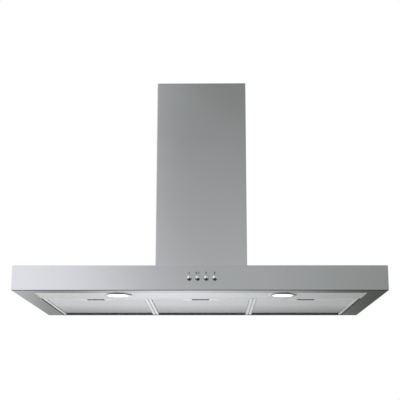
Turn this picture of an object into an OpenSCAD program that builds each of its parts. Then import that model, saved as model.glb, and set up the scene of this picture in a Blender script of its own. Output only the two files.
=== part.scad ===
// Wall mounted chimney range hood, folded from stainless steel sheet.
// X runs left to right, Y from the room to the wall, Z up, all in millimetres.
// The origin is the centre of the four wall screws, on the wall plane.

/* [Canopy] */
// Width of the canopy, left to right
canopy_w = 900; // [800:10:1000]
// Depth of the canopy, front face to wall
canopy_d = 500; // [480:10:560]
// Height of the canopy, underside to top
canopy_h = 61; // [58:1:80]
// Thickness of the stainless steel sheet
sheet = 1; // [0.8:0.1:1.2]
// Width of the flange turned in along each side of the underside
side_flange = 45; // [40:1:60]
// Width of the flange turned in along the front of the underside
front_flange = 42; // [38:1:42]
// Width of the flange turned in along the wall
rear_flange = 8; // [6:1:12]
// Width of the flange that ties the back panel to the top
top_flange = 15; // [10:1:18]
// Gap left between sheets that are slid together
sheet_gap = 0.3; // [0.2:0.1:0.5]

/* [Lamp panel] */
// Depth of the lamp panel that shows, front to back
lamp_panel_d = 106; // [102:1:110]
// Overlap of the lamp panel on the flanges that carry it
panel_lap = 8; // [5:1:10]
// Height of the stiffening edges turned up on the lamp panel
panel_edge = 15; // [12:1:16]

/* [Lamps] */
// Distance of each lamp from the centre line
lamp_x = 203; // [180:1:230]
// Distance of the lamp centres behind the front flange
lamp_inset = 36; // [36:1:40]
// Outer diameter of the lamp ring
lamp_ring_d = 70; // [66:1:74]
// Diameter of the opening that shows the lamp glass
lamp_view_d = 50; // [46:1:54]
// How far the lamp ring stands below its panel
lamp_ring_drop = 3; // [2:0.5:4]
// Thickness of the lamp glass
lamp_glass_t = 3; // [2:0.5:4]
// Width of the ledge that holds the lamp glass
lamp_ledge = 1.5; // [1:0.1:2]
// Wall of the lamp ring's collar
lamp_collar_t = 1.5; // [1:0.1:2]
// Height of the lamp ring's collar above its panel
lamp_collar_h = 8; // [5:1:10]
// Height of the reflector cup
lamp_cup_h = 28; // [25:1:34]
// Wall of the reflector cup
lamp_cup_t = 0.8; // [0.6:0.1:1.2]
// Radial gap between the lamp parts
lamp_gap = 0.5; // [0.3:0.1:0.8]
// Diameter of the bulb's glass capsule
bulb_d = 9; // [8:0.5:11]
// Length of the bulb's glass capsule
bulb_l = 12; // [9:0.5:12]
// Width of the ceramic bulb socket
socket_w = 14; // [12:1:18]
// Height of the ceramic bulb socket
socket_h = 8; // [6:1:9]

/* [Grease filters] */
// Gap between neighbouring filters
filter_gap = 1; // [0.8:0.1:2]
// Gap between the outer filters and the side flanges
filter_side_gap = 3; // [1:0.1:4]
// Gap in front of and behind the filters
filter_end_gap = 2; // [2:0.1:3]
// Thickness of a filter cassette
filter_t = 10; // [9:0.5:14]
// Height of the filters' lower face above the canopy's underside
filter_lift = 0.5; // [0.3:0.1:0.8]
// Width of the filter frame's border, sides and front
filter_border = 8; // [7:0.5:10]
// Width of the filter frame's border along the wall
filter_rear_border = 3; // [2.5:0.1:5]
// Thickness of the lips that hold the mesh in its frame
filter_lip = 1.5; // [1:0.1:2]
// Thickness of the mesh face sheet
mesh_face_t = 1; // [0.8:0.1:1.2]
// Number of mesh layers above the face sheet
layer_count = 4; // [2:1:5]
// Thickness of a mesh layer
layer_t = 0.6; // [0.4:0.1:0.8]
// Depth of the groove that holds the mesh
mesh_bite = 1.5; // [1:0.1:2]
// Length of the air slot at the rear of each filter
air_slot = 30; // [24:1:45]
// Distance of the filters' rear tabs from the filter's centre
tab_x = 85; // [60:1:95]
// Width of a rear tab
tab_w = 30; // [20:1:40]
// Thickness of a rear tab
tab_t = 1.2; // [1:0.1:1.5]
// Gap between a tab and the rear flange it hangs on
tab_gap = 0.3; // [0.2:0.1:0.4]

/* [Filter latches] */
// Width of a latch plate
latch_w = 88; // [70:1:100]
// Width of the finger recess in a latch
recess_w = 42; // [36:1:50]
// Depth of the finger recess, front to back
recess_d = 16; // [14:1:18]
// Height of the finger recess
recess_h = 6.5; // [5:0.5:7]
// Gap between a filter's front border and its latch plate
plate_gap = 0.6; // [0.5:0.1:4]
// Wall of the latch
latch_t = 1; // [0.8:0.1:1.2]
// Travel of a latch
latch_travel = 4; // [3:0.5:5]
// Clearance round a latch
latch_gap = 0.4; // [0.3:0.1:0.5]
// Width of a latch tongue
tongue_w = 30; // [20:1:34]
// Thickness of a latch tongue
tongue_t = 1.5; // [1:0.1:1.8]
// Height of the tongue above the filter's lower face
tongue_h = 3.5; // [3.4:0.1:3.8]

/* [Push buttons] */
// Diameter of a push button
button_d = 13.5; // [12:0.5:14.5]
// Distance from one push button to the next
button_pitch = 20.3; // [19.5:0.1:22]
// Distance of the button row from the centre line
button_row_x = 5.5; // [-10:0.5:10]
// Height of the button row above the underside
button_h = 30; // [29:1:32]
// How far a button stands out of the front face
button_reach = 6.5; // [5:0.5:6.5]
// Travel of a button
button_travel = 3; // [2:0.5:3.5]
// Radial gap between a button and its hole in the front face
button_gap = 0.35; // [0.3:0.05:0.5]
// Diameter of a button stem
stem_d = 7; // [5:0.5:8]
// Radial running clearance of a button stem
stem_clear = 0.06; // [0.03:0.01:0.08]
// Length of a button stem inside the switch block
stem_hold = 11; // [9:1:12]
// Distance of the switch block behind the front sheet
switch_back = 10; // [9:1:12]
// Depth of the switch block
switch_d = 28; // [24:1:32]
// Height of the switch block
switch_h = 24; // [20:1:26]
// Length of the switch block past the outer buttons
switch_end = 15; // [12:1:20]
// Depth of the foot that fixes the switch bracket under the canopy's top
switch_foot = 20; // [15:1:25]

/* [Chimney covers] */
// Width of the lower chimney cover
chimney_w = 248; // [246:1:270]
// Depth of the lower chimney cover
chimney_d = 230; // [226:1:260]
// Height of the lower chimney cover
chimney_h = 567; // [540:1:700]
// Width of the edges turned in at the wall
cover_return = 10; // [8:0.5:10]
// Gap between the covers and the wall
wall_gap = 0.5; // [0.3:0.1:1]
// Gap between the lower and the upper cover
cover_gap = 0.6; // [0.5:0.1:1]
// Height of the upper chimney cover
upper_h = 500; // [460:10:520]
// How far the upper cover stays below the lower cover's top
upper_drop = 3; // [2:1:10]
// Number of vent slots in each side of the upper cover
vent_count = 6; // [4:1:8]
// Length of a vent slot
vent_l = 90; // [60:5:110]
// Width of a vent slot
vent_w = 5; // [4:0.5:6]
// Distance from one vent slot to the next
vent_pitch = 14; // [12:1:16]
// Height of the lowest vent slot above the upper cover's foot
vent_rise = 30; // [20:1:40]

/* [Flue bracket] */
// Height of the flue bracket
flue_bracket_h = 25; // [20:1:35]
// Thickness of the flue bracket
flue_bracket_t = 1.5; // [1.2:0.1:2]
// Distance that the flue bracket reaches forward
flue_bracket_d = 24; // [20:1:30]
// Height of the upper cover's top above the flue bracket
flue_bracket_drop = 10; // [5:1:20]
// Distance between the flue bracket's two wall holes
flue_hole_pitch = 160; // [120:5:180]
// Diameter of the flue bracket's wall holes
flue_hole_d = 5.5; // [5:0.1:6.5]

/* [Chassis and wall holes] */
// Gap between the blower's chassis and each side of the lower chimney cover
chassis_side_gap = 12; // [12:0.5:16]
// Gap between the chassis and the front of the lower chimney cover
chassis_front_gap = 23; // [17:1:25]
// Height of the chassis
chassis_h = 300; // [295:1:320]
// Thickness of the galvanised chassis sheet
chassis_t = 1.2; // [1:0.1:1.5]
// Width of the edge turned in at the foot of the chassis
chassis_flange = 12; // [10:1:14]
// Height of the wall holes' centre above the canopy's underside
wall_hole_h = 231; // [225:1:240]
// Distance between the wall holes, left to right
wall_hole_x = 180; // [176:1:190]
// Distance between the wall holes, bottom to top
wall_hole_z = 200; // [180:1:210]
// Diameter of the wall holes
wall_hole_d = 8; // [7:0.5:9]

/* [Blower] */
// Width of the blower housing
blower_w = 150; // [144:1:152]
// How far the spiral's first radius is under half the chassis's depth
scroll_under = 21; // [19:0.5:22]
// How far the spiral's last radius is over half the chassis's depth
scroll_over = 2; // [-2:0.5:3]
// Angle at which the spiral starts
scroll_angle = 65; // [60:1:70]
// Height of the blower's axis above the canopy's top
blower_rise = 138; // [135:1:142]
// Gap between the blower housing and the chassis's back
blower_back = 3.8; // [3:0.1:4.5]
// Wall of the blower housing
scroll_t = 2.5; // [2:0.1:3]
// Width of the housing's side wall between an inlet and the start of the spiral
inlet_wall = 24; // [23:0.5:28]
// Width of the raised rim round each inlet
inlet_rim = 4; // [3:0.5:5]
// Gap between the impeller and the start of the spiral
impeller_gap = 7; // [6:0.5:10]
// Width of the impeller
impeller_w = 124; // [110:1:128]
// Number of blades in each of the impeller's two rows
blade_count = 36; // [24:1:40]
// Depth of an impeller blade
blade_d = 11; // [10:0.5:12]
// Thickness of an impeller blade
blade_t = 1.2; // [1:0.1:1.5]
// Lean of the impeller blades
blade_lean = 25; // [15:1:30]
// Thickness of the rings that hold the blades' outer ends
blade_ring_t = 2; // [1.5:0.1:3]
// Thickness of the impeller's middle disc
disc_t = 2.5; // [2:0.1:3]
// Radius of the impeller's hub
hub_r = 12; // [10:0.5:14]
// Width of the impeller's hub
hub_w = 16; // [12:1:20]

/* [Motor] */
// Gap left for the air between the motor and the inlet's edge
motor_air = 16; // [12:1:20]
// Diameter of the motor shaft
shaft_d = 8; // [6:0.5:10]
// Radial running clearance of the shaft in the motor
shaft_clear = 0.05; // [0.03:0.01:0.08]
// Gap between the motor and the impeller's hub
motor_gap = 4; // [3:0.5:6]
// Height of the bosses that carry the motor bracket
boss_h = 3; // [3:0.5:5]
// Thickness of the motor bracket
bracket_t = 2; // [1.5:0.1:2.5]
// Number of arms on the motor bracket
arm_count = 3; // [3:1:4]
// Width of a bracket arm
arm_w = 14; // [12:1:18]
// Distance of the bracket's screws inside the start of the spiral
arm_inset = 14; // [13:0.5:15]

/* [Outlet collar and flaps] */
// Outer diameter of the outlet collar, for a 150 mm duct
collar_d = 149; // [147:0.5:149]
// Height of the outlet collar
collar_h = 45; // [40:1:60]
// Wall of the outlet collar
collar_t = 2.5; // [2:0.1:3]
// Thickness of the collar's foot
foot_t = 3; // [2.5:0.1:4]
// Width of the collar's foot
foot_w = 10; // [9:0.5:12]
// Height of the ledge that the flaps rest on
ledge_h = 16; // [14:1:18]
// Width of that ledge
ledge_w = 5; // [4:0.5:6]
// Thickness of that ledge
ledge_t = 2; // [1.5:0.1:3]
// Gap between the flaps and what lies round them
flap_gap = 2; // [1.5:0.1:2.5]
// Gap between the flaps and the ledge they rest on
flap_rest = 0.3; // [0.2:0.1:0.5]
// Thickness of a flap
flap_t = 1.5; // [1.2:0.1:2]
// Diameter of the flaps' hinge pin
flap_pin_d = 3; // [2.5:0.1:3.5]
// Radial running clearance of the flaps on their pin
flap_clear = 0.06; // [0.03:0.01:0.08]
// Radius of a flap's knuckle
knuckle_r = 3.4; // [3.2:0.1:4]
// Length of a flap's knuckle
knuckle_l = 20; // [16:1:22]

/* [Electrical parts] */
// Diameter of the motor's capacitor
capacitor_d = 30; // [26:1:32]
// Length of the motor's capacitor
capacitor_l = 60; // [45:1:70]
// Distance of the capacitor from the chassis's edges
capacitor_margin = 3; // [2:0.5:5]
// Width of the terminal box
terminal_w = 46; // [40:1:48]
// Depth of the terminal box
terminal_d = 27; // [24:1:28]
// Height of the terminal box
terminal_h = 45; // [35:1:55]
// Distance of the terminal box from the chassis's edges
terminal_margin = 4; // [3:0.5:6]
// Wall of the terminal box
terminal_t = 2; // [1.5:0.1:3]
// Diameter of the cable gland
gland_d = 16; // [14:1:18]
// Height of the cable gland
gland_h = 18; // [14:1:22]
// Bore of the cable gland, for the mains lead
gland_bore = 8; // [6:0.5:9]
// Diameter of the internal wiring loom
loom_d = 6; // [5:0.5:7]

/* [Screws] */
// Diameter of the screws
screw_d = 4; // [3.5:0.1:4.5]
// Diameter of the screw heads
screw_head_d = 7.5; // [7:0.5:9]
// Height of the screw heads
screw_head_h = 2.2; // [1.8:0.1:3]
// Length of the screws
screw_l = 8; // [6:0.5:9]
// Clearance of a screw in its hole
screw_gap = 0.3; // [0.2:0.1:0.4]

/* [Hidden] */
// Filters side by side, and push buttons in their row
filter_count = 3;
button_count = 4;
$fn = 64;
eps = 0.01;

// Places shared by the pieces
canopy_z = -wall_hole_h;
front_y = -canopy_d;
top_h = canopy_h - sheet;
opening_x = canopy_w / 2 - side_flange;
panel_front = front_y + front_flange;
panel_rear = panel_front + lamp_panel_d;
lamp_y = panel_front + lamp_inset;
filter_front = panel_rear + filter_end_gap;
filter_rear = -rear_flange - filter_end_gap;
filter_span = 2 * opening_x - 2 * filter_side_gap;
filter_w = (filter_span - (filter_count - 1) * filter_gap) / filter_count;
filter_pitch = filter_w + filter_gap;
chassis_x = chimney_w / 2 - sheet - chassis_side_gap;
chassis_d = chimney_d - sheet - chassis_front_gap;
scroll_start = chassis_d / 2 - scroll_under;
scroll_end = chassis_d / 2 + scroll_over;
inlet_r = scroll_start - inlet_wall;
impeller_r = scroll_start - impeller_gap;
motor_r = inlet_r - motor_air;
arm_r = scroll_start - arm_inset;
chassis_top = canopy_h + chassis_h;
blower_y = -chassis_t - blower_back - scroll_end;
blower_h = canopy_h + blower_rise;
blower_x = blower_w / 2;
scroll_top = chassis_h - chassis_t - blower_rise;
collar_y = -chassis_d / 2;
collar_r = collar_d / 2;
collar_in = collar_r - collar_t;
flap_h = chassis_top + ledge_h + flap_rest + flap_t / 2;
bracket_x = blower_x + boss_h;
motor_x = hub_w / 2 + motor_gap;
block_y = front_y + sheet + switch_back;
lamp_ring_r = lamp_ring_d / 2;
lamp_view_r = lamp_view_d / 2;
lamp_glass_r = lamp_view_r + lamp_ledge;
lamp_collar_r = lamp_glass_r + lamp_gap + lamp_collar_t;
lamp_hole_r = lamp_collar_r + lamp_gap;
lamp_cup_r = lamp_hole_r + lamp_gap + lamp_cup_t;
panel_top = 2 * sheet;
cup_flange = 3;
cup_top = panel_top + lamp_cup_h;
cup_top_r = lamp_cup_r - 9;
recess_y = filter_front + filter_border + plate_gap + 2 * latch_t + latch_gap;
upper_w = chimney_w - 2 * sheet - 2 * cover_gap;
upper_d = chimney_d - sheet - cover_gap;
upper_top = canopy_h + chimney_h - upper_drop;
upper_return = cover_return - sheet;
upper_wall = wall_gap + sheet + cover_gap;

// Colours
steel = [0.74, 0.75, 0.76];
steel_dark = [0.55, 0.56, 0.58];
zinc = [0.66, 0.69, 0.71];
chrome = [0.86, 0.87, 0.88];
mesh_grey = [0.78, 0.79, 0.80];
core_grey = [0.22, 0.22, 0.23];
black = [0.10, 0.10, 0.11];
grey = [0.42, 0.43, 0.44];
glow = [1.00, 0.98, 0.93];
ceramic = [0.90, 0.88, 0.83];

// A box from its lowest to its highest corner
module block(low, high) {
    translate(low)
        cube(high - low);
}

// Heights inside are measured from the canopy's underside
module on_canopy() {
    translate([0, 0, canopy_z])
        children();
}

// Puts a shape that lies along Z onto the X direction
module along_x() {
    rotate([0, 90, 0])
        children();
}

// Puts a shape that lies along Z onto the Y direction, towards the wall
module along_y() {
    rotate([-90, 0, 0])
        children();
}

// A pan head screw that points up, its head below z = 0
module screw() {
    translate([0, 0, -screw_head_h])
        cylinder(d = screw_head_d, h = screw_head_h);
    translate([0, 0, -eps])
        cylinder(d = screw_d, h = screw_l + eps);
}

module screw_hole(length) {
    translate([0, 0, -length / 2])
        cylinder(d = screw_d + 2 * screw_gap, h = length);
}

function button_x(i) = button_row_x + (i - (button_count - 1) / 2) * button_pitch;

// Opening in the canopy's top and in the foot of the chassis
module air_way(low, high) {
    edge = chassis_t + chassis_flange;
    block([-chassis_x + edge, -chassis_d + edge, low], [chassis_x - edge, -edge, high]);
}

// Screws that hold the chassis down, four on each long side
module chassis_screw_places() {
    edge = chassis_t + chassis_flange / 2;
    for (x = [-1, 1], i = [0:3])
        translate([x * (chassis_x - edge), -chassis_d * (i + 0.5) / 4, canopy_h - sheet])
            children();
}

// Canopy: the wide stainless box that shows
module canopy_shell() {
    half = canopy_w / 2;
    color(steel)
    on_canopy()
    difference() {
        block([-half, front_y, 0], [half, 0, canopy_h]);
        block([-half + sheet, front_y + sheet, sheet], [half - sheet, eps, canopy_h - sheet]);
        block([-opening_x, panel_front, -eps], [opening_x, eps, 2 * sheet]);
        block([-half + sheet, -sheet - sheet_gap, -eps], [half - sheet, eps, 2 * sheet]);
        air_way(canopy_h - 2 * sheet, canopy_h + sheet);
        chassis_screw_places()
            screw_hole(6 * sheet);
        for (i = [0:button_count - 1])
            translate([button_x(i), front_y - sheet, button_h])
                along_y()
                    cylinder(d = button_d + 2 * button_gap, h = 3 * sheet);
    }
}

// Galvanised back panel with a short flange along the underside
module back_panel() {
    half = canopy_w / 2 - sheet - sheet_gap;
    color(zinc)
    on_canopy()
    union() {
        block([-half, -sheet, 0], [half, 0, top_h]);
        block([-opening_x + sheet_gap, -rear_flange, 0], [opening_x - sheet_gap, -eps, sheet]);
        block([-half, -top_flange, top_h - sheet], [-chassis_x, -eps, top_h]);
        block([chassis_x, -top_flange, top_h - sheet], [half, -eps, top_h]);
    }
}

// Lamp panel: a tray that lies on the flanges in front of the filters
function filter_x(i) = (i - (filter_count - 1) / 2) * filter_pitch;

module lamp_panel() {
    half = opening_x + panel_lap;
    front = panel_front - panel_lap;
    slot_h = filter_lift + tongue_h - latch_gap;
    slot_x = tongue_w / 2 + latch_gap;
    color(steel)
    on_canopy()
    difference() {
        union() {
            block([-half, front, sheet], [half, panel_rear, panel_top]);
            block([-half, front, sheet], [half, front + sheet, sheet + panel_edge]);
            block([-half, panel_rear - sheet, sheet], [half, panel_rear, sheet + panel_edge]);
        }
        for (x = [-lamp_x, lamp_x])
            translate([x, lamp_y, 0])
                cylinder(r = lamp_hole_r, h = 4 * sheet);
        for (i = [0:filter_count - 1])
            block(
                [filter_x(i) - slot_x, panel_rear - 2 * sheet, slot_h],
                [filter_x(i) + slot_x, panel_rear + sheet, slot_h + tongue_t + 2 * latch_gap]);
    }
}

// Lamps: ring, glass, reflector cup, socket and bulb
module lamp_ring(x) {
    ledge_low = sheet - lamp_ring_drop;
    color(chrome)
    on_canopy()
    translate([x, lamp_y, 0])
    rotate_extrude()
    polygon([
        [lamp_view_r, ledge_low],
        [lamp_ring_r - 2, ledge_low],
        [lamp_ring_r, sheet - 1],
        [lamp_ring_r, sheet],
        [lamp_collar_r, sheet],
        [lamp_collar_r, panel_top + lamp_collar_h],
        [lamp_collar_r - lamp_collar_t, panel_top + lamp_collar_h],
        [lamp_collar_r - lamp_collar_t, ledge_low + 1],
        [lamp_view_r, ledge_low + 1]
    ]);
}

module lamp_glass(x) {
    color(glow)
    on_canopy()
    translate([x, lamp_y, sheet - lamp_ring_drop + 1])
    cylinder(r = lamp_glass_r, h = lamp_glass_t);
}

module lamp_cup(x) {
    color(chrome)
    on_canopy()
    translate([x, lamp_y, panel_top])
    rotate_extrude()
    polygon([
        [lamp_cup_r - lamp_cup_t, 0],
        [lamp_cup_r + cup_flange, 0],
        [lamp_cup_r + cup_flange, lamp_cup_t],
        [lamp_cup_r, lamp_cup_t],
        [lamp_cup_r, lamp_collar_h + 2],
        [cup_top_r, lamp_cup_h],
        [0, lamp_cup_h],
        [0, lamp_cup_h - lamp_cup_t],
        [cup_top_r - lamp_cup_t, lamp_cup_h - lamp_cup_t],
        [lamp_cup_r - lamp_cup_t, lamp_collar_h + 2]
    ]);
}

module bulb_socket(x) {
    half = socket_w / 2;
    top = cup_top - lamp_cup_t;
    color(ceramic)
    on_canopy()
    translate([x, lamp_y, 0])
    block([-half, -half, top - socket_h], [half, half, top]);
}

module lamp_bulb(x) {
    top = cup_top - lamp_cup_t - socket_h;
    color(glow)
    on_canopy()
    translate([x, lamp_y, 0])
    union() {
        translate([0, 0, top - bulb_l + bulb_d / 2])
            cylinder(d = bulb_d, h = bulb_l - bulb_d / 2);
        translate([0, 0, top - bulb_l + bulb_d / 2])
            sphere(d = bulb_d + 0.2);
    }
}

// Filters: frame, mesh face, mesh core and latch
module filter_frame(i) {
    half = filter_w / 2;
    low = filter_lift;
    high = filter_lift + filter_t;
    side = half - filter_border;
    front = filter_front + filter_border;
    rear = filter_rear - filter_rear_border;
    slot_low = filter_lift + tongue_h - latch_gap;
    slot_high = filter_lift + tongue_h + tongue_t + latch_gap;
    tab_low = sheet + tab_gap;
    color(steel)
    on_canopy()
    translate([filter_x(i), 0, 0])
    difference() {
        union() {
            block([-half, filter_front, low], [half, filter_rear, high]);
            for (x = [-tab_x, tab_x])
                block(
                    [x - tab_w / 2, filter_rear - eps, tab_low],
                    [x + tab_w / 2, -2.5 * sheet, tab_low + tab_t]);
        }
        block([-side, front, low - eps], [side, rear, high + eps]);
        block(
            [-side - mesh_bite, front - mesh_bite, low + filter_lip],
            [side + mesh_bite, rear + mesh_bite, high - filter_lip]);
        block(
            [-tongue_w / 2 - latch_gap, filter_front - eps, slot_low],
            [tongue_w / 2 + latch_gap, front, slot_high]);
    }
}

// Notch for the latch in the front edge of the mesh core
module latch_notch(low, high) {
    half = recess_w / 2 + latch_t + latch_gap;
    rear = recess_y + recess_d + latch_t + latch_travel + latch_gap;
    block([-half, filter_front, low], [half, rear, high]);
}

module filter_face(i) {
    side = filter_w / 2 - filter_border + mesh_bite;
    low = filter_lift + filter_lip;
    color(mesh_grey)
    on_canopy()
    translate([filter_x(i), 0, 0])
    difference() {
        block(
            [-side, filter_front + filter_border - mesh_bite, low],
            [side, filter_rear - filter_rear_border - air_slot, low + mesh_face_t]);
        block(
            [-recess_w / 2 - latch_t - latch_gap, recess_y - latch_t - latch_gap, low - eps],
            [recess_w / 2 + latch_t + latch_gap,
                recess_y + recess_d + latch_t + latch_travel + latch_gap, low + 2 * mesh_face_t]);
    }
}

module filter_core(i) {
    side = filter_w / 2 - filter_border + mesh_bite;
    low = filter_lift + filter_lip + mesh_face_t;
    step = (filter_lift + filter_t - filter_lip - layer_t - low) / (layer_count - 1);
    color(core_grey)
    on_canopy()
    translate([filter_x(i), 0, 0])
    difference() {
        for (k = [0:layer_count - 1])
            block(
                [-side, filter_front + filter_border - mesh_bite, low + k * step],
                [side, filter_rear - filter_rear_border + mesh_bite, low + k * step + layer_t]);
        latch_notch(low - eps, filter_lift + filter_t);
    }
}

module latch(i) {
    low = filter_lift + filter_lip - latch_gap - latch_t;
    half = recess_w / 2;
    plate_front = recess_y - 2 * latch_t - latch_gap;
    plate_rear = recess_y + recess_d + 2 * latch_t + latch_travel + 2 * latch_gap;
    tongue_low = filter_lift + tongue_h;
    color(chrome)
    on_canopy()
    translate([filter_x(i), 0, 0])
    difference() {
        union() {
            block([-latch_w / 2, plate_front, low], [latch_w / 2, plate_rear, low + latch_t]);
            block(
                [-half - latch_t, recess_y - latch_t, low],
                [half + latch_t, recess_y + recess_d + latch_t, low + recess_h + latch_t]);
            block(
                [-tongue_w / 2, panel_rear + latch_gap, tongue_low],
                [tongue_w / 2, recess_y, tongue_low + tongue_t]);
        }
        block([-half, recess_y, low - eps], [half, recess_y + recess_d, low + recess_h]);
    }
}

// Push buttons and the switch block behind them
module push_button(i) {
    r = button_d / 2;
    rear = sheet + sheet_gap;
    color(chrome)
    on_canopy()
    translate([button_x(i), front_y, button_h])
    along_y()
    union() {
        cylinder(r = r, h = rear + 0.2);
        intersection() {
            translate([0, 0, r * r / button_reach / 2 - button_reach / 2])
                sphere(r = r * r / button_reach / 2 + button_reach / 2);
            translate([0, 0, -2 * r])
                cylinder(r = 2 * r, h = 2 * r + eps);
        }
        translate([0, 0, rear])
            cylinder(r = r + 1.75, h = 1.2);
        translate([0, 0, rear])
            cylinder(d = stem_d, h = switch_back + stem_hold - sheet_gap);
    }
}

module switch_block() {
    left = button_x(0) - switch_end;
    right = button_x(button_count - 1) + switch_end;
    bore = stem_hold + button_travel + 1.5;
    color(black)
    on_canopy()
    difference() {
        block([left, block_y, button_h - switch_h / 2], [right, block_y + switch_d, button_h + switch_h / 2]);
        for (i = [0:button_count - 1])
            translate([button_x(i), block_y - eps, button_h])
                along_y()
                    cylinder(d = stem_d + 2 * stem_clear, h = bore);
        switch_screw_places()
            screw_hole(2 * screw_l + 2);
    }
}

// Angle plate that hangs the switch block under the canopy's top
module switch_bracket() {
    left = button_x(0) - switch_end;
    right = button_x(button_count - 1) + switch_end;
    rear = block_y + switch_d;
    color(zinc)
    on_canopy()
    difference() {
        union() {
            block([left, rear, button_h - switch_h / 2], [right, rear + sheet, top_h]);
            block([left, rear, top_h - sheet], [right, rear + switch_foot, top_h]);
        }
        switch_screw_places()
            screw_hole(4 * sheet);
    }
}

// Screws that hold the switch block, driven forward from behind
module switch_screw_places() {
    for (x = [button_x(0), button_x(button_count - 1)])
        translate([x, block_y + switch_d + sheet, button_h])
            rotate([90, 0, 0])
                children();
}

// Chassis: galvanised box that hangs on the wall and holds the blower
module wall_hole_places() {
    for (x = [-1, 1], z = [-1, 1])
        translate([x * wall_hole_x / 2, 0, z * wall_hole_z / 2])
            children();
}

module collar_screw_places() {
    for (a = [45:90:315])
        translate([
            (collar_r + foot_w / 2) * cos(a),
            collar_y + (collar_r + foot_w / 2) * sin(a),
            chassis_top])
            children();
}

module chassis() {
    color(zinc)
    difference() {
        on_canopy()
        difference() {
            block([-chassis_x, -chassis_d, canopy_h], [chassis_x, 0, chassis_top]);
            block(
                [-chassis_x + chassis_t, -chassis_d + chassis_t, canopy_h + chassis_t],
                [chassis_x - chassis_t, -chassis_t, chassis_top - chassis_t]);
            air_way(canopy_h - chassis_t, canopy_h + 2 * chassis_t);
            translate([0, collar_y, chassis_top - 2 * chassis_t])
                cylinder(r = collar_in, h = 3 * chassis_t);
            chassis_screw_places()
                translate([0, 0, chassis_t])
                    screw_hole(6 * chassis_t);
            collar_screw_places()
                screw_hole(6 * chassis_t);
            translate([loom_x, loom_y, chassis_top - 2 * chassis_t])
                cylinder(d = loom_d + 2, h = 3 * chassis_t);
        }
        wall_hole_places()
            along_y()
                translate([0, 0, -3 * chassis_t])
                    cylinder(d = wall_hole_d, h = 4 * chassis_t);
    }
}

// Blower housing: a spiral that grows towards its outlet at the top.
// Its outline is drawn with Y across and Z up, measured from the impeller's axis.
function scroll_r(a) = scroll_start + (scroll_end - scroll_start) * (a - scroll_angle) / (360 - scroll_angle);

scroll_steps = 30;
neck_half = collar_r + 8;
neck_mid = collar_y - blower_y;
neck_rise = 24;

function scroll_outline() = concat(
    [for (k = [0:scroll_steps])
        let (a = scroll_angle + (360 - scroll_angle) * k / scroll_steps)
        scroll_r(a) * [cos(a), sin(a)]],
    [
        [scroll_end, neck_rise],
        [neck_mid + neck_half, scroll_top],
        [neck_mid - neck_half, scroll_top]
    ]);

// One half, from its joint at z = 0 to its outer face at z = blower_x
module scroll_half() {
    difference() {
        linear_extrude(blower_x)
            polygon(scroll_outline());
        translate([0, 0, -eps])
            linear_extrude(blower_x - scroll_t + eps)
                offset(delta = -scroll_t)
                    polygon(scroll_outline());
        translate([0, 0, -eps])
            cylinder(r = inlet_r, h = blower_x + 1);
    }
    translate([0, 0, blower_x - eps])
        difference() {
            cylinder(r = inlet_r + inlet_rim, h = 1.5);
            translate([0, 0, -1])
                cylinder(r = inlet_r, h = 4);
        }
}

// Turns the outline's plane upright, with its thickness along +X
module upright() {
    translate([0, blower_y, blower_h])
        rotate([90, 0, 90])
            children();
}

// Outlet cut through the top of the housing
module outlet_cut() {
    translate([0, collar_y, chassis_top - chassis_t - 3 * scroll_t])
        cylinder(r = collar_in, h = 4 * scroll_t);
}

module arm_places() {
    for (k = [0:arm_count - 1])
        rotate([0, 0, 90 + k * 360 / arm_count])
            translate([arm_r, 0, 0])
                children();
}

module blower_half_left() {
    color(black)
    on_canopy()
    difference() {
        mirror([1, 0, 0])
            upright()
                scroll_half();
        outlet_cut();
    }
}

module blower_half_right() {
    color(black)
    on_canopy()
    difference() {
        union() {
            upright()
                scroll_half();
            upright()
                translate([0, 0, blower_x - eps])
                    arm_places()
                        cylinder(r = screw_d, h = boss_h + eps);
        }
        outlet_cut();
        upright()
            translate([0, 0, blower_x - scroll_t])
                arm_places()
                    screw_hole(4 * boss_h + 4 * scroll_t);
    }
}

// Rotating parts on the blower's axis: a disc on the shaft, a row of blades on
// each side of it, and a ring round the outer ends of each row
module impeller_disc() {
    color(grey)
    on_canopy()
    upright()
    difference() {
        union() {
            cylinder(r = impeller_r, h = disc_t, center = true);
            cylinder(r = hub_r, h = hub_w, center = true);
        }
        cylinder(d = shaft_d, h = 2 * hub_w, center = true);
    }
}

module impeller_blades() {
    inner_end = disc_t / 2;
    outer_end = impeller_w / 2 - blade_ring_t;
    color(grey)
    on_canopy()
    upright()
    for (side = [0, 1], k = [0:blade_count - 1])
        mirror([0, 0, side])
            rotate([0, 0, k * 360 / blade_count])
                translate([impeller_r - blade_d / 2 - 1, 0, (inner_end + outer_end) / 2])
                    rotate([0, 0, blade_lean])
                        cube([blade_d, blade_t, outer_end - inner_end], center = true);
}

module impeller_rings() {
    color(grey)
    on_canopy()
    upright()
    for (side = [0, 1])
        mirror([0, 0, side])
            translate([0, 0, impeller_w / 2 - blade_ring_t])
                difference() {
                    cylinder(r = impeller_r, h = blade_ring_t);
                    translate([0, 0, -1])
                        cylinder(r = impeller_r - blade_d, h = blade_ring_t + 2);
                }
}

module motor_shaft() {
    color(steel_dark)
    on_canopy()
    upright()
    translate([0, 0, -hub_w / 2 - 2])
    cylinder(d = shaft_d, h = hub_w / 2 + 2 + bracket_x + bracket_t + 3);
}

module motor() {
    color(steel_dark)
    on_canopy()
    upright()
    difference() {
        union() {
            translate([0, 0, motor_x + 6])
                cylinder(r = motor_r, h = bracket_x - motor_x - 12);
            translate([0, 0, motor_x])
                cylinder(r = motor_r - 6, h = bracket_x - motor_x);
        }
        translate([0, 0, motor_x - 1])
            cylinder(d = shaft_d + 2 * shaft_clear, h = bracket_x);
    }
}

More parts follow.
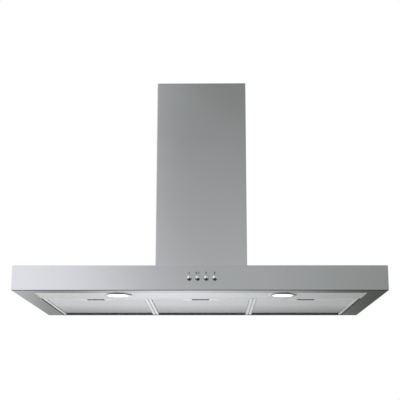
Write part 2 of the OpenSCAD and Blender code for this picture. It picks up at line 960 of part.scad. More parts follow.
module motor_bracket() {
    color(zinc)
    on_canopy()
    upright()
    translate([0, 0, bracket_x])
    difference() {
        union() {
            cylinder(r = motor_r - 2, h = bracket_t);
            for (k = [0:arm_count - 1])
                rotate([0, 0, 90 + k * 360 / arm_count])
                    translate([0, -arm_w / 2, 0])
                        cube([arm_r + screw_d + 1, arm_w, bracket_t]);
        }
        cylinder(d = 2 * shaft_d, h = 4 * bracket_t, center = true);
        arm_places()
            screw_hole(6 * bracket_t);
    }
}

module capacitor() {
    x = -chassis_x + capacitor_d / 2 + capacitor_margin;
    y = -chassis_d + capacitor_d / 2 + capacitor_margin;
    color(zinc)
    on_canopy()
    translate([x, y, chassis_top])
    union() {
        cylinder(d = capacitor_d, h = capacitor_l);
        cylinder(d = capacitor_d + 3, h = 5);
        translate([-5, -1, capacitor_l - eps])
            cube([10, 2, 6]);
    }
}

// Terminal box in the corner behind the collar, with the gland for the mains lead
terminal_x = chassis_x - terminal_w - terminal_margin;
terminal_y = -terminal_d - terminal_margin;

module gland_place() {
    translate([terminal_x + terminal_w / 2, terminal_y + terminal_d / 2, chassis_top + terminal_h])
        children();
}

module terminal_box() {
    t = terminal_t;
    color(grey)
    on_canopy()
    difference() {
        block(
            [terminal_x, terminal_y, chassis_top],
            [terminal_x + terminal_w, terminal_y + terminal_d, chassis_top + terminal_h]);
        block(
            [terminal_x + t, terminal_y + t, chassis_top + t],
            [terminal_x + terminal_w - t, terminal_y + terminal_d - t, chassis_top + terminal_h - t]);
        gland_place()
            translate([0, 0, -2 * t])
                cylinder(d = gland_bore + 2, h = 4 * t);
    }
}

module cable_gland() {
    color(black)
    on_canopy()
    gland_place()
    difference() {
        union() {
            cylinder(d = gland_d + 3, h = 5, $fn = 6);
            cylinder(d1 = gland_d, d2 = gland_d - 4, h = gland_h);
        }
        translate([0, 0, -1])
            cylinder(d = gland_bore, h = gland_h + 2);
    }
}

// Wiring from the switch block to the terminal box, clipped along the sheet
loom_x = chassis_x - chassis_t - chassis_flange - loom_d;
loom_y = -chassis_d + chassis_t + chassis_flange + loom_d;
loom_start = block_y + switch_d / 2;

function loom_route() = [
    [button_x(button_count - 1) + switch_end, loom_start, button_h],
    [loom_x, loom_start, button_h],
    [loom_x, loom_start, top_h - loom_d / 2 - 1],
    [loom_x, loom_y, top_h - loom_d / 2 - 1],
    [loom_x, loom_y, chassis_top + loom_d],
    [loom_x, terminal_y, chassis_top + loom_d]
];

// A straight run of the loom along one axis
module loom_run(from, to) {
    d = to - from;
    l = norm(d);
    translate(from)
        if (abs(d.x) > l / 2)
            rotate([0, d.x > 0 ? 90 : -90, 0])
                cylinder(d = loom_d, h = l);
        else if (abs(d.y) > l / 2)
            rotate([d.y > 0 ? -90 : 90, 0, 0])
                cylinder(d = loom_d, h = l);
        else
            rotate([d.z > 0 ? 0 : 180, 0, 0])
                cylinder(d = loom_d, h = l);
}

module wiring_loom() {
    route = loom_route();
    last = len(route) - 1;
    color(black)
    on_canopy()
    union() {
        for (k = [0:last - 1])
            loom_run(route[k], route[k + 1]);
        for (k = [1:last - 1])
            translate(route[k])
                sphere(d = loom_d + 0.6);
    }
}

// Outlet collar with its two non-return flaps
module outlet_collar() {
    color(black)
    on_canopy()
    difference() {
        translate([0, collar_y, chassis_top])
            rotate_extrude($fn = 96)
                polygon([
                    [collar_in, 0],
                    [collar_r + foot_w, 0],
                    [collar_r + foot_w, foot_t],
                    [collar_r, foot_t],
                    [collar_r, collar_h],
                    [collar_in, collar_h],
                    [collar_in, ledge_h],
                    [collar_in - ledge_w, ledge_h],
                    [collar_in - ledge_w, ledge_h - ledge_t],
                    [collar_in, ledge_h - ledge_t]
                ]);
        collar_screw_places()
            screw_hole(4 * foot_t);
        translate([-collar_r - 1, collar_y, flap_h])
            along_x()
                cylinder(d = flap_pin_d, h = collar_d + 2);
    }
}

module flap_pin() {
    color(steel_dark)
    on_canopy()
    translate([-collar_r + 0.5, collar_y, flap_h])
    along_x()
    cylinder(d = flap_pin_d, h = collar_d - 1);
}

// A flap on the -Y side of the pin, with its knuckles at the given places
module flap(knuckles) {
    r = collar_in - flap_gap;
    edge = knuckle_r + 0.6;
    difference() {
        union() {
            intersection() {
                cylinder(r = r, h = flap_t, center = true);
                block([-r, -r - 1, -flap_t], [r, -edge, flap_t]);
            }
            for (x = knuckles) {
                block([x, -edge - 2, -flap_t / 2], [x + knuckle_l, 0, flap_t / 2]);
                translate([x, 0, 0])
                    along_x()
                        cylinder(r = knuckle_r, h = knuckle_l);
            }
        }
        translate([-r, 0, 0])
            along_x()
                cylinder(d = flap_pin_d + 2 * flap_clear, h = 2 * r);
    }
}

module flap_front() {
    color(grey)
    on_canopy()
    translate([0, collar_y, flap_h])
    flap([-2 * knuckle_l - 3, 1]);
}

module flap_rear() {
    color(grey)
    on_canopy()
    translate([0, collar_y, flap_h])
    rotate([0, 0, 180])
    flap([-2 * knuckle_l - 3, 1]);
}

// Chimney covers: folded sheets that are open to the wall
module cover(w, d, low, high, turn, wall) {
    difference() {
        block([-w / 2, -d, low], [w / 2, -wall, high]);
        block([-w / 2 + sheet, -d + sheet, low - 1], [w / 2 - sheet, -wall - sheet, high + 1]);
        block([-w / 2 + turn, -wall - 2 * sheet, low - 1], [w / 2 - turn, 0, high + 1]);
    }
}

module chimney_cover() {
    color(steel)
    on_canopy()
    cover(chimney_w, chimney_d, canopy_h, canopy_h + chimney_h, cover_return, wall_gap);
}

module upper_cover() {
    mid = -upper_d / 2;
    color(steel)
    on_canopy()
    difference() {
        cover(upper_w, upper_d, upper_top - upper_h, upper_top, upper_return, upper_wall);
        for (k = [0:vent_count - 1])
            block(
                [-upper_w, mid - vent_l / 2, upper_top - upper_h + vent_rise + k * vent_pitch],
                [upper_w, mid + vent_l / 2, upper_top - upper_h + vent_rise + k * vent_pitch + vent_w]);
        flue_screw_places()
            screw_hole(8 * sheet);
    }
}

module flue_screw_places() {
    height = upper_top - flue_bracket_drop - flue_bracket_h / 2;
    for (side = [-1, 1])
        translate([side * upper_w / 2, -flue_bracket_d + 5, height])
            rotate([0, -90 * side, 0])
                children();
}

// Flue bracket: a bent strip that ties the upper cover to the wall
module flue_bracket() {
    t = flue_bracket_t;
    inner = upper_w / 2 - upper_return - 1;
    outer = upper_w / 2 - sheet;
    step = upper_wall + sheet + 6;
    high = upper_top - flue_bracket_drop;
    low = high - flue_bracket_h;
    color(zinc)
    difference() {
        on_canopy()
        difference() {
            union() {
                block([-inner, -t, low], [inner, 0, high]);
                for (side = [0, 1])
                    mirror([side, 0, 0]) {
                        block([inner - t, -step, low], [inner, -eps, high]);
                        block([inner - t, -step - t, low], [outer, -step, high]);
                        block([outer - t, -flue_bracket_d, low], [outer, -step, high]);
                    }
            }
            flue_screw_places()
                screw_hole(8 * sheet + 6 * t);
        }
        for (side = [-1, 1])
            translate([side * flue_hole_pitch / 2, -3 * t, canopy_z + (low + high) / 2])
                along_y()
                    cylinder(d = flue_hole_d, h = 4 * t);
    }
}

// Groups of screws
module chassis_screws() {
    color(steel_dark)
    on_canopy()
    chassis_screw_places()
    screw();
}

module switch_screws() {
    color(steel_dark)
    on_canopy()
    switch_screw_places()
    screw();
}

module motor_screws() {
    color(steel_dark)
    on_canopy()
    upright()
    translate([0, 0, bracket_x + bracket_t])
    arm_places()
    mirror([0, 0, 1])
    screw();
}

module collar_screws() {
    color(steel_dark)
    on_canopy()
    collar_screw_places()
    translate([0, 0, foot_t])
    mirror([0, 0, 1])
    union() {
        translate([0, 0, -screw_head_h])
            cylinder(d = screw_head_d, h = screw_head_h);
        translate([0, 0, -eps])
            cylinder(d = screw_d, h = foot_t + chassis_t);
    }
}

module flue_screws() {
    color(steel_dark)
    on_canopy()
    flue_screw_places()
    cylinder(d = screw_d, h = screw_l);
}

canopy_shell();
back_panel();
lamp_panel();
lamp_ring(-lamp_x);  // lamp_ring_left
lamp_ring(lamp_x);  // lamp_ring_right
lamp_glass(-lamp_x);  // lamp_glass_left
lamp_glass(lamp_x);  // lamp_glass_right
lamp_cup(-lamp_x);  // lamp_cup_left
lamp_cup(lamp_x);  // lamp_cup_right
lamp_bulb(-lamp_x);  // lamp_bulb_left
lamp_bulb(lamp_x);  // lamp_bulb_right
bulb_socket(-lamp_x);  // bulb_socket_left
bulb_socket(lamp_x);  // bulb_socket_right
filter_frame(0);  // filter_frame_left
filter_frame(1);  // filter_frame_centre
filter_frame(2);  // filter_frame_right
filter_face(0);  // filter_face_left
filter_face(1);  // filter_face_centre
filter_face(2);  // filter_face_right
filter_core(0);  // filter_core_left
filter_core(1);  // filter_core_centre
filter_core(2);  // filter_core_right
latch(0);  // latch_left
latch(1);  // latch_centre
latch(2);  // latch_right
push_button(0);  // button_light
push_button(1);  // button_speed_1
push_button(2);  // button_speed_2
push_button(3);  // button_speed_3
switch_block();
switch_bracket();
chassis();
blower_half_left();
blower_half_right();
impeller_disc();
impeller_blades();
impeller_rings();
motor();
motor_shaft();
motor_bracket();
capacitor();
terminal_box();
cable_gland();
wiring_loom();
outlet_collar();
flap_pin();
flap_front();
flap_rear();
chimney_cover();
upper_cover();
flue_bracket();
chassis_screws();
motor_screws();
collar_screws();
switch_screws();
flue_screws();
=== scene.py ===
import math
import bmesh
import bpy
from mathutils import Matrix, Vector


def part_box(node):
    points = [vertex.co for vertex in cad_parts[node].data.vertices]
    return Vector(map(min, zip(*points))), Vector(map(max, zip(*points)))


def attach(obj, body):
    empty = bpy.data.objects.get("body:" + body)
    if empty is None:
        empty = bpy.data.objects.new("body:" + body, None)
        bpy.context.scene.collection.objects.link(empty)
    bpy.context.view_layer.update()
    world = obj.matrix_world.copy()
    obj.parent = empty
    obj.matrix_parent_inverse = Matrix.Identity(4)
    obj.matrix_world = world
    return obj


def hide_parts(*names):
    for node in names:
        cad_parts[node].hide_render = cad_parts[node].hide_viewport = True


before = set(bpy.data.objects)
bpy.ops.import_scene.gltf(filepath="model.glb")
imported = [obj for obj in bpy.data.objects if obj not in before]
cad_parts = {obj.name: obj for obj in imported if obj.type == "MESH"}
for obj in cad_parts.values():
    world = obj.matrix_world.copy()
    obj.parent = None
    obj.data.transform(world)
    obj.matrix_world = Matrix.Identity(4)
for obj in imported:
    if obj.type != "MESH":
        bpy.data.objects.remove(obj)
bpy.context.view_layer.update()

bl_info = {
    "name": "Wall Mount Range Hood",
    "version": (1, 0, 0),
    "blender": (4, 5, 0),
    "location": "3D View > Sidebar > Range Hood",
    "description": "Dresses a wall mount range hood in folded steel, mesh filters, lamps and push buttons",
    "category": "Object",
}

MM = 0.001
SIDES = ("left", "centre", "right")
BUTTONS = ("light", "speed_1", "speed_2", "speed_3")

# Lengths that no box of a CAD node gives, in millimetres

# Depth of a latch plate, of its ledge before the finger cup, and of the cup, and half the cup's width
PLATE_D = 25.2
PLATE_LEDGE = 1.4
CUP_D = 18.0
CUP_HALF = 22
# Half the width of a latch's tongue, and its lower and upper face above the underside
TONGUE_HALF = 15
TONGUE_RISE = (4, 5.5)
# Play round the tongue in the lamp panel, and beside the cup in the mesh
LATCH_PLAY = 0.4
# Thickness of the latch plate, and how far the frame holds the mesh
PLATE_T = 0.35
MESH_BITE = 1.5
# Distance of a filter's rear tabs from its centre, half their width, and their faces above the underside
TAB_X = 85
TAB_HALF = 15
TAB_RISE = (1.3, 2.5)
# Radius of a push button and of its hole in the front
BUTTON_R = 6.75
BUTTON_HOLE_R = 7.15
# Radius of the opening that shows a lamp glass, of the collar behind it and of its hole
VIEW_R = 25.0
COLLAR_R = 28.5
LAMP_HOLE_R = 29.0
# Width of the lip round the opening between canopy and chassis
AIR_LIP = 13.2
# Wall holes in the chassis's back: places across and up from the origin, and radius
WALL_HOLES = ((-90, -100), (-90, 100), (90, -100), (90, 100))
WALL_HOLE_R = 4
# Pressed panel in the chassis's back: border left round it, width of its step, and depth
PRESSED_BORDER = 42
PRESSED_STEP = 4
PRESSED_D = 1.2
# Holes in the chassis's top: radius of the air outlet, and radius and place of the wiring's hole
OUTLET_R = 72
LOOM_HOLE_R = 4
LOOM_INSET = 3.3
LOOM_Y = -186.8
# Vent slots in each side of the upper cover: height of the lowest, pitch, half length, and height of a slot
VENT_COUNT = 6
VENT_RISE = 30
VENT_PITCH = 14
VENT_HALF = 45
VENT_H = 5
# How far a cutter reaches past the sheet that it cuts
PAST = 5


def colour(code):
    """Turns an sRGB hex code into linear red, green and blue."""
    parts = [int(code[k:k + 2], 16) / 255 for k in (0, 2, 4)]
    return tuple(p / 12.92 if p <= 0.04045 else ((p + 0.055) / 1.055) ** 2.4 for p in parts)


def node_box(name):
    """The lowest and highest corner of a CAD node, in millimetres."""
    low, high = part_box(name)
    return Vector(low) / MM, Vector(high) / MM


def node_middle(name):
    """The middle of a CAD node's box, in millimetres."""
    low, high = node_box(name)
    return (low + high) / 2


CANOPY_LOW, CANOPY_HIGH = node_box("canopy_shell")
UNDERSIDE = CANOPY_LOW.z
FRONT = CANOPY_LOW.y


# Sizes and colours that a user would change

def length_property(name, description, value, least, most):
    """A length with its least and greatest value, all given in millimetres."""
    return bpy.props.FloatProperty(
        name=name, description=description, default=value * MM, min=least * MM, max=most * MM,
        unit="LENGTH", precision=4)


def colour_property(name, description, code):
    return bpy.props.FloatVectorProperty(
        name=name, description=description, default=colour(code), size=3, min=0, max=1, subtype="COLOR")


class HoodSheetSettings(bpy.types.PropertyGroup):
    thickness: length_property("Sheet", "Thickness of the stainless steel sheet", 1.0, 0.5, 2.0)
    fold_radius: length_property("Fold radius", "Outer radius of the folds in the sheet", 1.8, 0.5, 4.0)
    side_flange: length_property("Side flange", "Width of the flange under each side", 45, 20, 80)
    front_flange: length_property("Front flange", "Width of the flange under the front", 42, 10, 60)
    cover_return: length_property("Cover return", "Width of the chimney cover's edges at the wall", 10, 5, 30)
    steel: colour_property("Steel", "Colour of the brushed stainless steel", "cfd0d2")
    zinc: colour_property("Zinc", "Colour of the galvanised sheet", "b4babd")


class HoodFilterSettings(bpy.types.PropertyGroup):
    border: length_property("Border", "Width of the frame round each filter", 8, 4, 20)
    edge_radius: length_property("Edge radius", "Rounding of the frame's edges", 0.9, 0.2, 3)
    mesh: colour_property("Mesh", "Colour of the aluminium mesh", "eeeff0")
    core: colour_property("Inner layers", "Colour of the shaded inner layers", "2c2c2e")


class HoodControlSettings(bpy.types.PropertyGroup):
    mark_height: length_property("Mark height", "Height of the printed marks over the buttons", 5.2, 2, 8)
    mark_rise: length_property("Mark rise", "Height of the marks above the canopy's underside", 41.8, 38, 55)
    ink: colour_property("Ink", "Colour of the printed marks", "2b2c2e")
    chrome: colour_property("Chrome", "Colour of the chromed buttons and lamp rings", "dfe0e2")


class HoodStageSettings(bpy.types.PropertyGroup):
    floor_drop: bpy.props.FloatProperty(
        name="Floor drop", description="Height of the canopy's underside above the floor",
        default=1.55, min=1.0, max=2.5, unit="LENGTH")
    lamp_glow: bpy.props.FloatProperty(
        name="Lamp glow", description="Brightness of the lamp glasses",
        default=1.1, min=0.0, max=20.0)
    key_power: bpy.props.FloatProperty(
        name="Key light", description="Power of the large soft light at the upper left",
        default=45.0, min=0.0, max=500.0, unit="POWER")
    bounce_power: bpy.props.FloatProperty(
        name="Bounce light", description="Power of the soft light that the floor throws back at the underside",
        default=8.0, min=0.0, max=200.0, unit="POWER")


# Modelling helpers

def deselect_all():
    if bpy.context.object and bpy.context.object.mode != "OBJECT":
        bpy.ops.object.mode_set(mode="OBJECT")
    bpy.ops.object.select_all(action="DESELECT")


def make_active(piece):
    deselect_all()
    piece.select_set(True)
    bpy.context.view_layer.objects.active = piece


def edit(piece):
    make_active(piece)
    bpy.ops.object.mode_set(mode="EDIT")


def leave_edit():
    bpy.ops.object.mode_set(mode="OBJECT")


def apply_transform():
    bpy.ops.object.transform_apply(location=True, rotation=True, scale=True)


def middle(item):
    """The middle of a face, edge or corner, in millimetres."""
    if isinstance(item, bmesh.types.BMFace):
        return item.calc_center_median() / MM
    if isinstance(item, bmesh.types.BMEdge):
        return (item.verts[0].co + item.verts[1].co) / 2 / MM
    return item.co / MM


def faces_down(face):
    return face.normal.z < -0.5


def faces_up(face):
    return face.normal.z > 0.5


def faces_wall(face):
    return face.normal.y > 0.5


def is_level(face):
    return abs(face.normal.z) > 0.5


def is_upright(face):
    return abs(face.normal.z) < 0.5


def pick(piece, kind, test):
    """Selects the faces, edges or corners of the piece in edit mode that pass the test."""
    bpy.ops.mesh.select_mode(type=kind)
    bpy.ops.mesh.select_all(action="DESELECT")
    mesh = bmesh.from_edit_mesh(piece.data)
    mesh.faces.ensure_lookup_table()
    for item in {"FACE": mesh.faces, "EDGE": mesh.edges, "VERT": mesh.verts}[kind]:
        if test(item):
            item.select_set(True)
    mesh.select_flush_mode()
    bmesh.update_edit_mesh(piece.data)


def cut(piece, axis, places, test):
    """Cuts the faces that pass the test straight across an axis, at each of the places."""
    normal = [int(letter == axis) for letter in "XYZ"]
    for place in places:
        pick(piece, "FACE", test)
        bpy.ops.mesh.bisect(plane_co=Vector([place * part for part in normal]) * MM, plane_no=normal)


def drop_faces(piece, test):
    pick(piece, "FACE", test)
    bpy.ops.mesh.delete(type="FACE")


def cut_rim(piece, low, high, rim, test):
    """Cuts the faces that pass the test all round, a rim inside the box."""
    cut(piece, "X", (low.x + rim, high.x - rim), test)
    cut(piece, "Y", (low.y + rim, high.y - rim), test)


def in_rim(face, low, high, rim):
    at = middle(face)
    return low.x + rim < at.x < high.x - rim and low.y + rim < at.y < high.y - rim


def start_box(name, low, high):
    """A cube between two corners given in millimetres, its place in its mesh."""
    deselect_all()
    low, high = Vector(low) * MM, Vector(high) * MM
    bpy.ops.mesh.primitive_cube_add(size=1, location=(low + high) / 2)
    piece = bpy.context.object
    piece.name = piece.data.name = name
    piece.scale = high - low
    apply_transform()
    return piece


def turn(name, centre, profile, steps=48, toward="Z"):
    """Draws a circle ring by ring along a profile of (radius, height) in millimetres."""
    deselect_all()
    (first, start), rest = profile[0], profile[1:]
    least = 0.001
    bpy.ops.mesh.primitive_circle_add(
        vertices=steps, radius=max(first, least) * MM, fill_type="NOTHING", location=(0, 0, start * MM))
    piece = bpy.context.object
    piece.name = piece.data.name = name
    apply_transform()
    bpy.ops.object.mode_set(mode="EDIT")
    bpy.ops.mesh.select_all(action="SELECT")
    radius, height = max(first, least), start
    for next_radius, next_height in rest:
        next_radius = max(next_radius, least)
        bpy.ops.mesh.extrude_edges_move(
            TRANSFORM_OT_translate={"value": (0, 0, (next_height - height) * MM)})
        grow = next_radius / radius
        bpy.ops.transform.resize(value=(grow, grow, 1), center_override=(0, 0, next_height * MM))
        radius, height = next_radius, next_height
    bpy.ops.mesh.select_all(action="SELECT")
    bpy.ops.mesh.remove_doubles(threshold=0.01 * MM)
    bpy.ops.mesh.normals_make_consistent(inside=False)
    leave_edit()
    if toward == "-Y":
        piece.rotation_euler = (math.radians(90), 0, 0)
    piece.location = Vector(centre) * MM
    apply_transform()
    return piece


def drill(centre, radius, start, end, steps, toward="Z"):
    """A round cutter that reaches from start to end along its axis."""
    return turn("hole", centre, [(0, start), (radius, start), (radius, end), (0, end)], steps, toward)


def apply_modifier(piece, kind, **settings):
    make_active(piece)
    bpy.ops.object.modifier_add(type=kind)
    modifier = piece.modifiers[-1]
    for key, value in settings.items():
        setattr(modifier, key, value)
    bpy.ops.object.modifier_apply(modifier=modifier.name)


def subtract(piece, *cutters):
    """Cuts the cutters' shapes out of the piece and removes them."""
    for cutter in cutters:
        apply_modifier(piece, "BOOLEAN", operation="DIFFERENCE", object=cutter, solver="EXACT")
        bpy.data.objects.remove(cutter, do_unlink=True)


def join(piece, *others):
    make_active(piece)
    for other in others:
        other.select_set(True)
    bpy.ops.object.join()
    return piece


def round_edges(piece, radius, segments=3, angle=50):
    apply_modifier(
        piece, "BEVEL", width=radius, segments=segments, limit_method="ANGLE",
        angle_limit=math.radians(angle), use_clamp_overlap=True)


def smooth(piece, angle=35):
    """Shades the rounded edges smooth, and keeps the large faces flat."""
    make_active(piece)
    bpy.ops.object.shade_smooth_by_angle(angle=math.radians(angle))
    apply_modifier(piece, "WEIGHTED_NORMAL", keep_sharp=True)
    return piece


def settle(piece, body, material, slot, *nodes):
    """Gives the finished piece its material and body, and lets it stand for its CAD nodes."""
    piece.data.materials.clear()
    piece.data.materials.append(material)
    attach(piece, body)
    if nodes:
        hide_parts(*nodes)


# Materials

def add_node(tree, kind, settings=None, inputs=None):
    """Adds a node with its settings, and sets or links its inputs."""
    node = tree.nodes.new(kind)
    for key, value in (settings or {}).items():
        setattr(node, key, value)
    for key, value in (inputs or {}).items():
        if isinstance(value, bpy.types.NodeSocket):
            tree.links.new(value, node.inputs[key])
        else:
            node.inputs[key].default_value = value
    return node


def new_material(name):
    """A new material, its node tree, and the place on the piece in the piece's own coordinates."""
    material = bpy.data.materials.new(name)
    material.use_nodes = True
    tree = material.node_tree
    tree.nodes.clear()
    return material, tree, add_node(tree, "ShaderNodeTexCoord").outputs["Object"]


def surface(material, inputs):
    """Closes the material with its shader, and gives it back."""
    tree = material.node_tree
    shader = add_node(tree, "ShaderNodeBsdfPrincipled", None, inputs)
    add_node(tree, "ShaderNodeOutputMaterial", None, {"Surface": shader.outputs[0]})
    return material


def opaque(tint, level=1.0):
    return tuple(c * level for c in tint) + (1,)


def stretch(tree, place, scale):
    return add_node(tree, "ShaderNodeMapping", None, {"Vector": place, "Scale": scale}).outputs[0]


def noise(tree, place, scale, detail, roughness=0.5):
    return add_node(
        tree, "ShaderNodeTexNoise", None,
        {"Vector": place, "Scale": scale, "Detail": detail, "Roughness": roughness}).outputs[0]


def spread(tree, value, start, end, low, high, course="LINEAR"):
    """Stretches the range from start to end to the range from low to high."""
    return add_node(
        tree, "ShaderNodeMapRange", {"interpolation_type": course},
        {"Value": value, "From Min": start, "From Max": end, "To Min": low, "To Max": high}).outputs[0]


def bumps(tree, height, strength, distance, invert=False):
    return add_node(
        tree, "ShaderNodeBump", {"invert": invert},
        {"Height": height, "Strength": strength, "Distance": distance}).outputs[0]


def mix(tree, share, first, second):
    return add_node(
        tree, "ShaderNodeMix", {"data_type": "RGBA"}, {"Factor": share, 6: first, 7: second}).outputs[2]


def arithmetic(tree, operation, first, second=0.0):
    return add_node(tree, "ShaderNodeMath", {"operation": operation}, {0: first, 1: second}).outputs[0]


def axes(tree, vector):
    """The X, Y and Z of a vector."""
    return add_node(tree, "ShaderNodeSeparateXYZ", None, {"Vector": vector}).outputs


def brushed_stainless(name, tint, roughness=0.22, metallic=1.0):
    """Grade 304 sheet, belt brushed: fine scratches run lengthwise, so reflections smear up and down."""
    material, tree, place = new_material(name)
    facing = add_node(tree, "ShaderNodeNewGeometry").outputs["Normal"]
    level = arithmetic(tree, "ABSOLUTE", axes(tree, facing)["Z"])
    flat = arithmetic(tree, "GREATER_THAN", level, 0.7)
    # Real scratches are 0.1 mm apart: drawn 0.9 mm apart so that they show
    upright_lines = stretch(tree, place, (5, 5, 1100))
    level_lines = stretch(tree, place, (5, 1100, 5))
    lines = add_node(
        tree, "ShaderNodeMix", {"data_type": "VECTOR"},
        {"Factor": flat, 4: upright_lines, 5: level_lines})
    grain = noise(tree, lines.outputs[1], 1.0, 4.0, 0.65)
    # Broad, faint changes of dullness, 200 mm across
    cloud = noise(tree, place, 5.0, 2.0)
    dull = spread(tree, grain, 0.3, 0.7, roughness - 0.012, roughness + 0.012)
    soil = spread(tree, cloud, 0.35, 0.65, -0.012, 0.012)
    rough = arithmetic(tree, "ADD", dull, soil)
    pale = tuple(min(1.0, c * 1.025) for c in tint) + (1,)
    deep = opaque(tint, 0.97)
    tone = mix(tree, grain, deep, pale)
    bump = bumps(tree, grain, 0.012, 0.0002)
    across = add_node(tree, "ShaderNodeCombineXYZ", None, {"X": 0.0, "Y": 0.05, "Z": 1.0})
    return surface(material, {
        "Base Color": tone, "Metallic": metallic, "Roughness": rough, "Anisotropic": 0.75,
        "Tangent": across.outputs[0], "Normal": bump})


def galvanised_sheet(name, tint, metallic=0.85, roughness=0.38, gloss=0.5):
    """Hot dipped galvanised steel: dull zinc with crystals about 12 mm across."""
    material, tree, place = new_material(name)
    crystal = add_node(
        tree, "ShaderNodeTexVoronoi", {"feature": "F1"}, {"Vector": place, "Scale": 85.0, "Randomness": 1.0})
    fine = noise(tree, place, 260.0, 3.0)
    shade = add_node(tree, "ShaderNodeSeparateColor", None, {"Color": crystal.outputs["Color"]})
    tone = mix(tree, shade.outputs[0], opaque(tint, 0.82), opaque(tint))
    rough = spread(tree, shade.outputs[1], 0.0, 1.0, roughness, roughness + 0.14)
    bump = bumps(tree, fine, 0.08, 0.0002)
    return surface(material, {
        "Base Color": tone, "Metallic": metallic, "Roughness": rough, "Specular IOR Level": gloss,
        "Normal": bump})


def polished_metal(name, tint, roughness):
    """Bright chrome plate or polished aluminium: a mirror with faint swirl marks."""
    material, tree, place = new_material(name)
    swirl = noise(tree, place, 180.0, 2.0)
    rough = spread(tree, swirl, 0.3, 0.7, roughness * 0.8, roughness * 1.25)
    tone = mix(tree, swirl, opaque(tint, 0.97), opaque(tint))
    return surface(material, {"Base Color": tone, "Metallic": 1.0, "Roughness": rough})


def frosted_glass(name, glow):
    """Sand blasted lamp glass with the bulb lit behind it: an even white disc."""
    material, tree, place = new_material(name)
    frost = noise(tree, place, 900.0, 2.0)
    tone = mix(tree, frost, opaque(colour("f4f4f2")), opaque(colour("ffffff")))
    bump = bumps(tree, frost, 0.15, 0.0001)
    return surface(material, {
        "Base Color": tone, "Roughness": 0.45, "IOR": 1.5, "Normal": bump, "Emission Color": tone,
        "Emission Strength": glow})


def expanded_mesh(name, tint, shade, pitch=(9.0, 4.5), metallic=0.9, roughness=0.42, gloss=0.5, wall_shade_share=0.0):
    """Expanded aluminium foil: bright slanted strands round small diamond holes, with painted shade that darkens it
    towards the wall.
    """
    material, tree, place = new_material(name)
    # The real diamonds are 4 by 2 mm: drawn about twice as coarse so that they show
    scale = stretch(tree, place, (1000 / pitch[0], 1000 / pitch[1], 1.0))
    part = axes(tree, scale)
    strands = []
    for sign in ("ADD", "SUBTRACT"):
        slant = arithmetic(tree, sign, part["X"], part["Y"])
        strands.append(arithmetic(tree, "PINGPONG", slant, 0.5))
    nearest = arithmetic(tree, "MINIMUM", strands[0], strands[1])
    hole = spread(tree, nearest, 0.14, 0.26, 0.0, 1.0, "SMOOTHSTEP")
    patch = noise(tree, place, 22.0, 3.0)
    bright = mix(tree, patch, opaque(tint, 0.9), opaque(tint))
    tone = mix(tree, hole, bright, opaque(shade))
    bump = bumps(tree, hole, 0.35, 0.0004, True)
    # Painted shade: the underside darkens towards the wall, by the given share
    wall_shade = spread(tree, axes(tree, place)["Y"], -0.215, -0.04, 0.0, wall_shade_share)
    shaded_near_wall = mix(tree, wall_shade, tone, opaque(colour("3a3936")))
    # The side turned up, which only an opened filter shows, keeps the aluminium's own colour, without the painted
    # shade of the underside
    facing = add_node(
        tree, "ShaderNodeVectorTransform",
        {"vector_type": "NORMAL", "convert_from": "WORLD", "convert_to": "OBJECT"},
        {"Vector": add_node(tree, "ShaderNodeNewGeometry").outputs["Normal"]})
    upper = arithmetic(tree, "GREATER_THAN", axes(tree, facing.outputs[0])["Z"], 0.5)
    upper_tone = mix(tree, hole, opaque(colour("c9cbcd")), opaque(colour("6a6c6e")))
    both = mix(tree, upper, shaded_near_wall, upper_tone)
    return surface(material, {
        "Base Color": both, "Metallic": metallic, "Roughness": roughness, "Specular IOR Level": gloss,
        "Normal": bump})


def rolled_aluminium(name, tint):
    """Mill finish aluminium strip: pale and satin, with soft rolling lines."""
    material, tree, place = new_material(name)
    long = stretch(tree, place, (60, 9, 300))
    lines = noise(tree, long, 1.0, 3.0)
    tone = mix(tree, lines, opaque(tint, 0.9), opaque(tint))
    rough = spread(tree, lines, 0.3, 0.7, 0.28, 0.38)
    return surface(material, {"Base Color": tone, "Metallic": 0.5, "Roughness": rough})


def moulded_plastic(name, tint, roughness=0.5, grain_mm=0.8, metallic=0.0, gloss=0.5):
    """Injection moulded plastic or die cast paint: fine spark grain and a soft sheen."""
    material, tree, place = new_material(name)
    grain = noise(tree, place, 1000 / grain_mm / 2, 2.0)
    cloud = noise(tree, place, 14.0, 3.0)
    tone = mix(tree, cloud, opaque(tint, 0.85), opaque(tint))
    rough = spread(tree, cloud, 0.3, 0.7, roughness - 0.05, roughness + 0.05)
    bump = bumps(tree, grain, 0.1, 0.0001)
    return surface(material, {
        "Base Color": tone, "Metallic": metallic, "Roughness": rough, "Specular IOR Level": gloss,
        "Normal": bump})


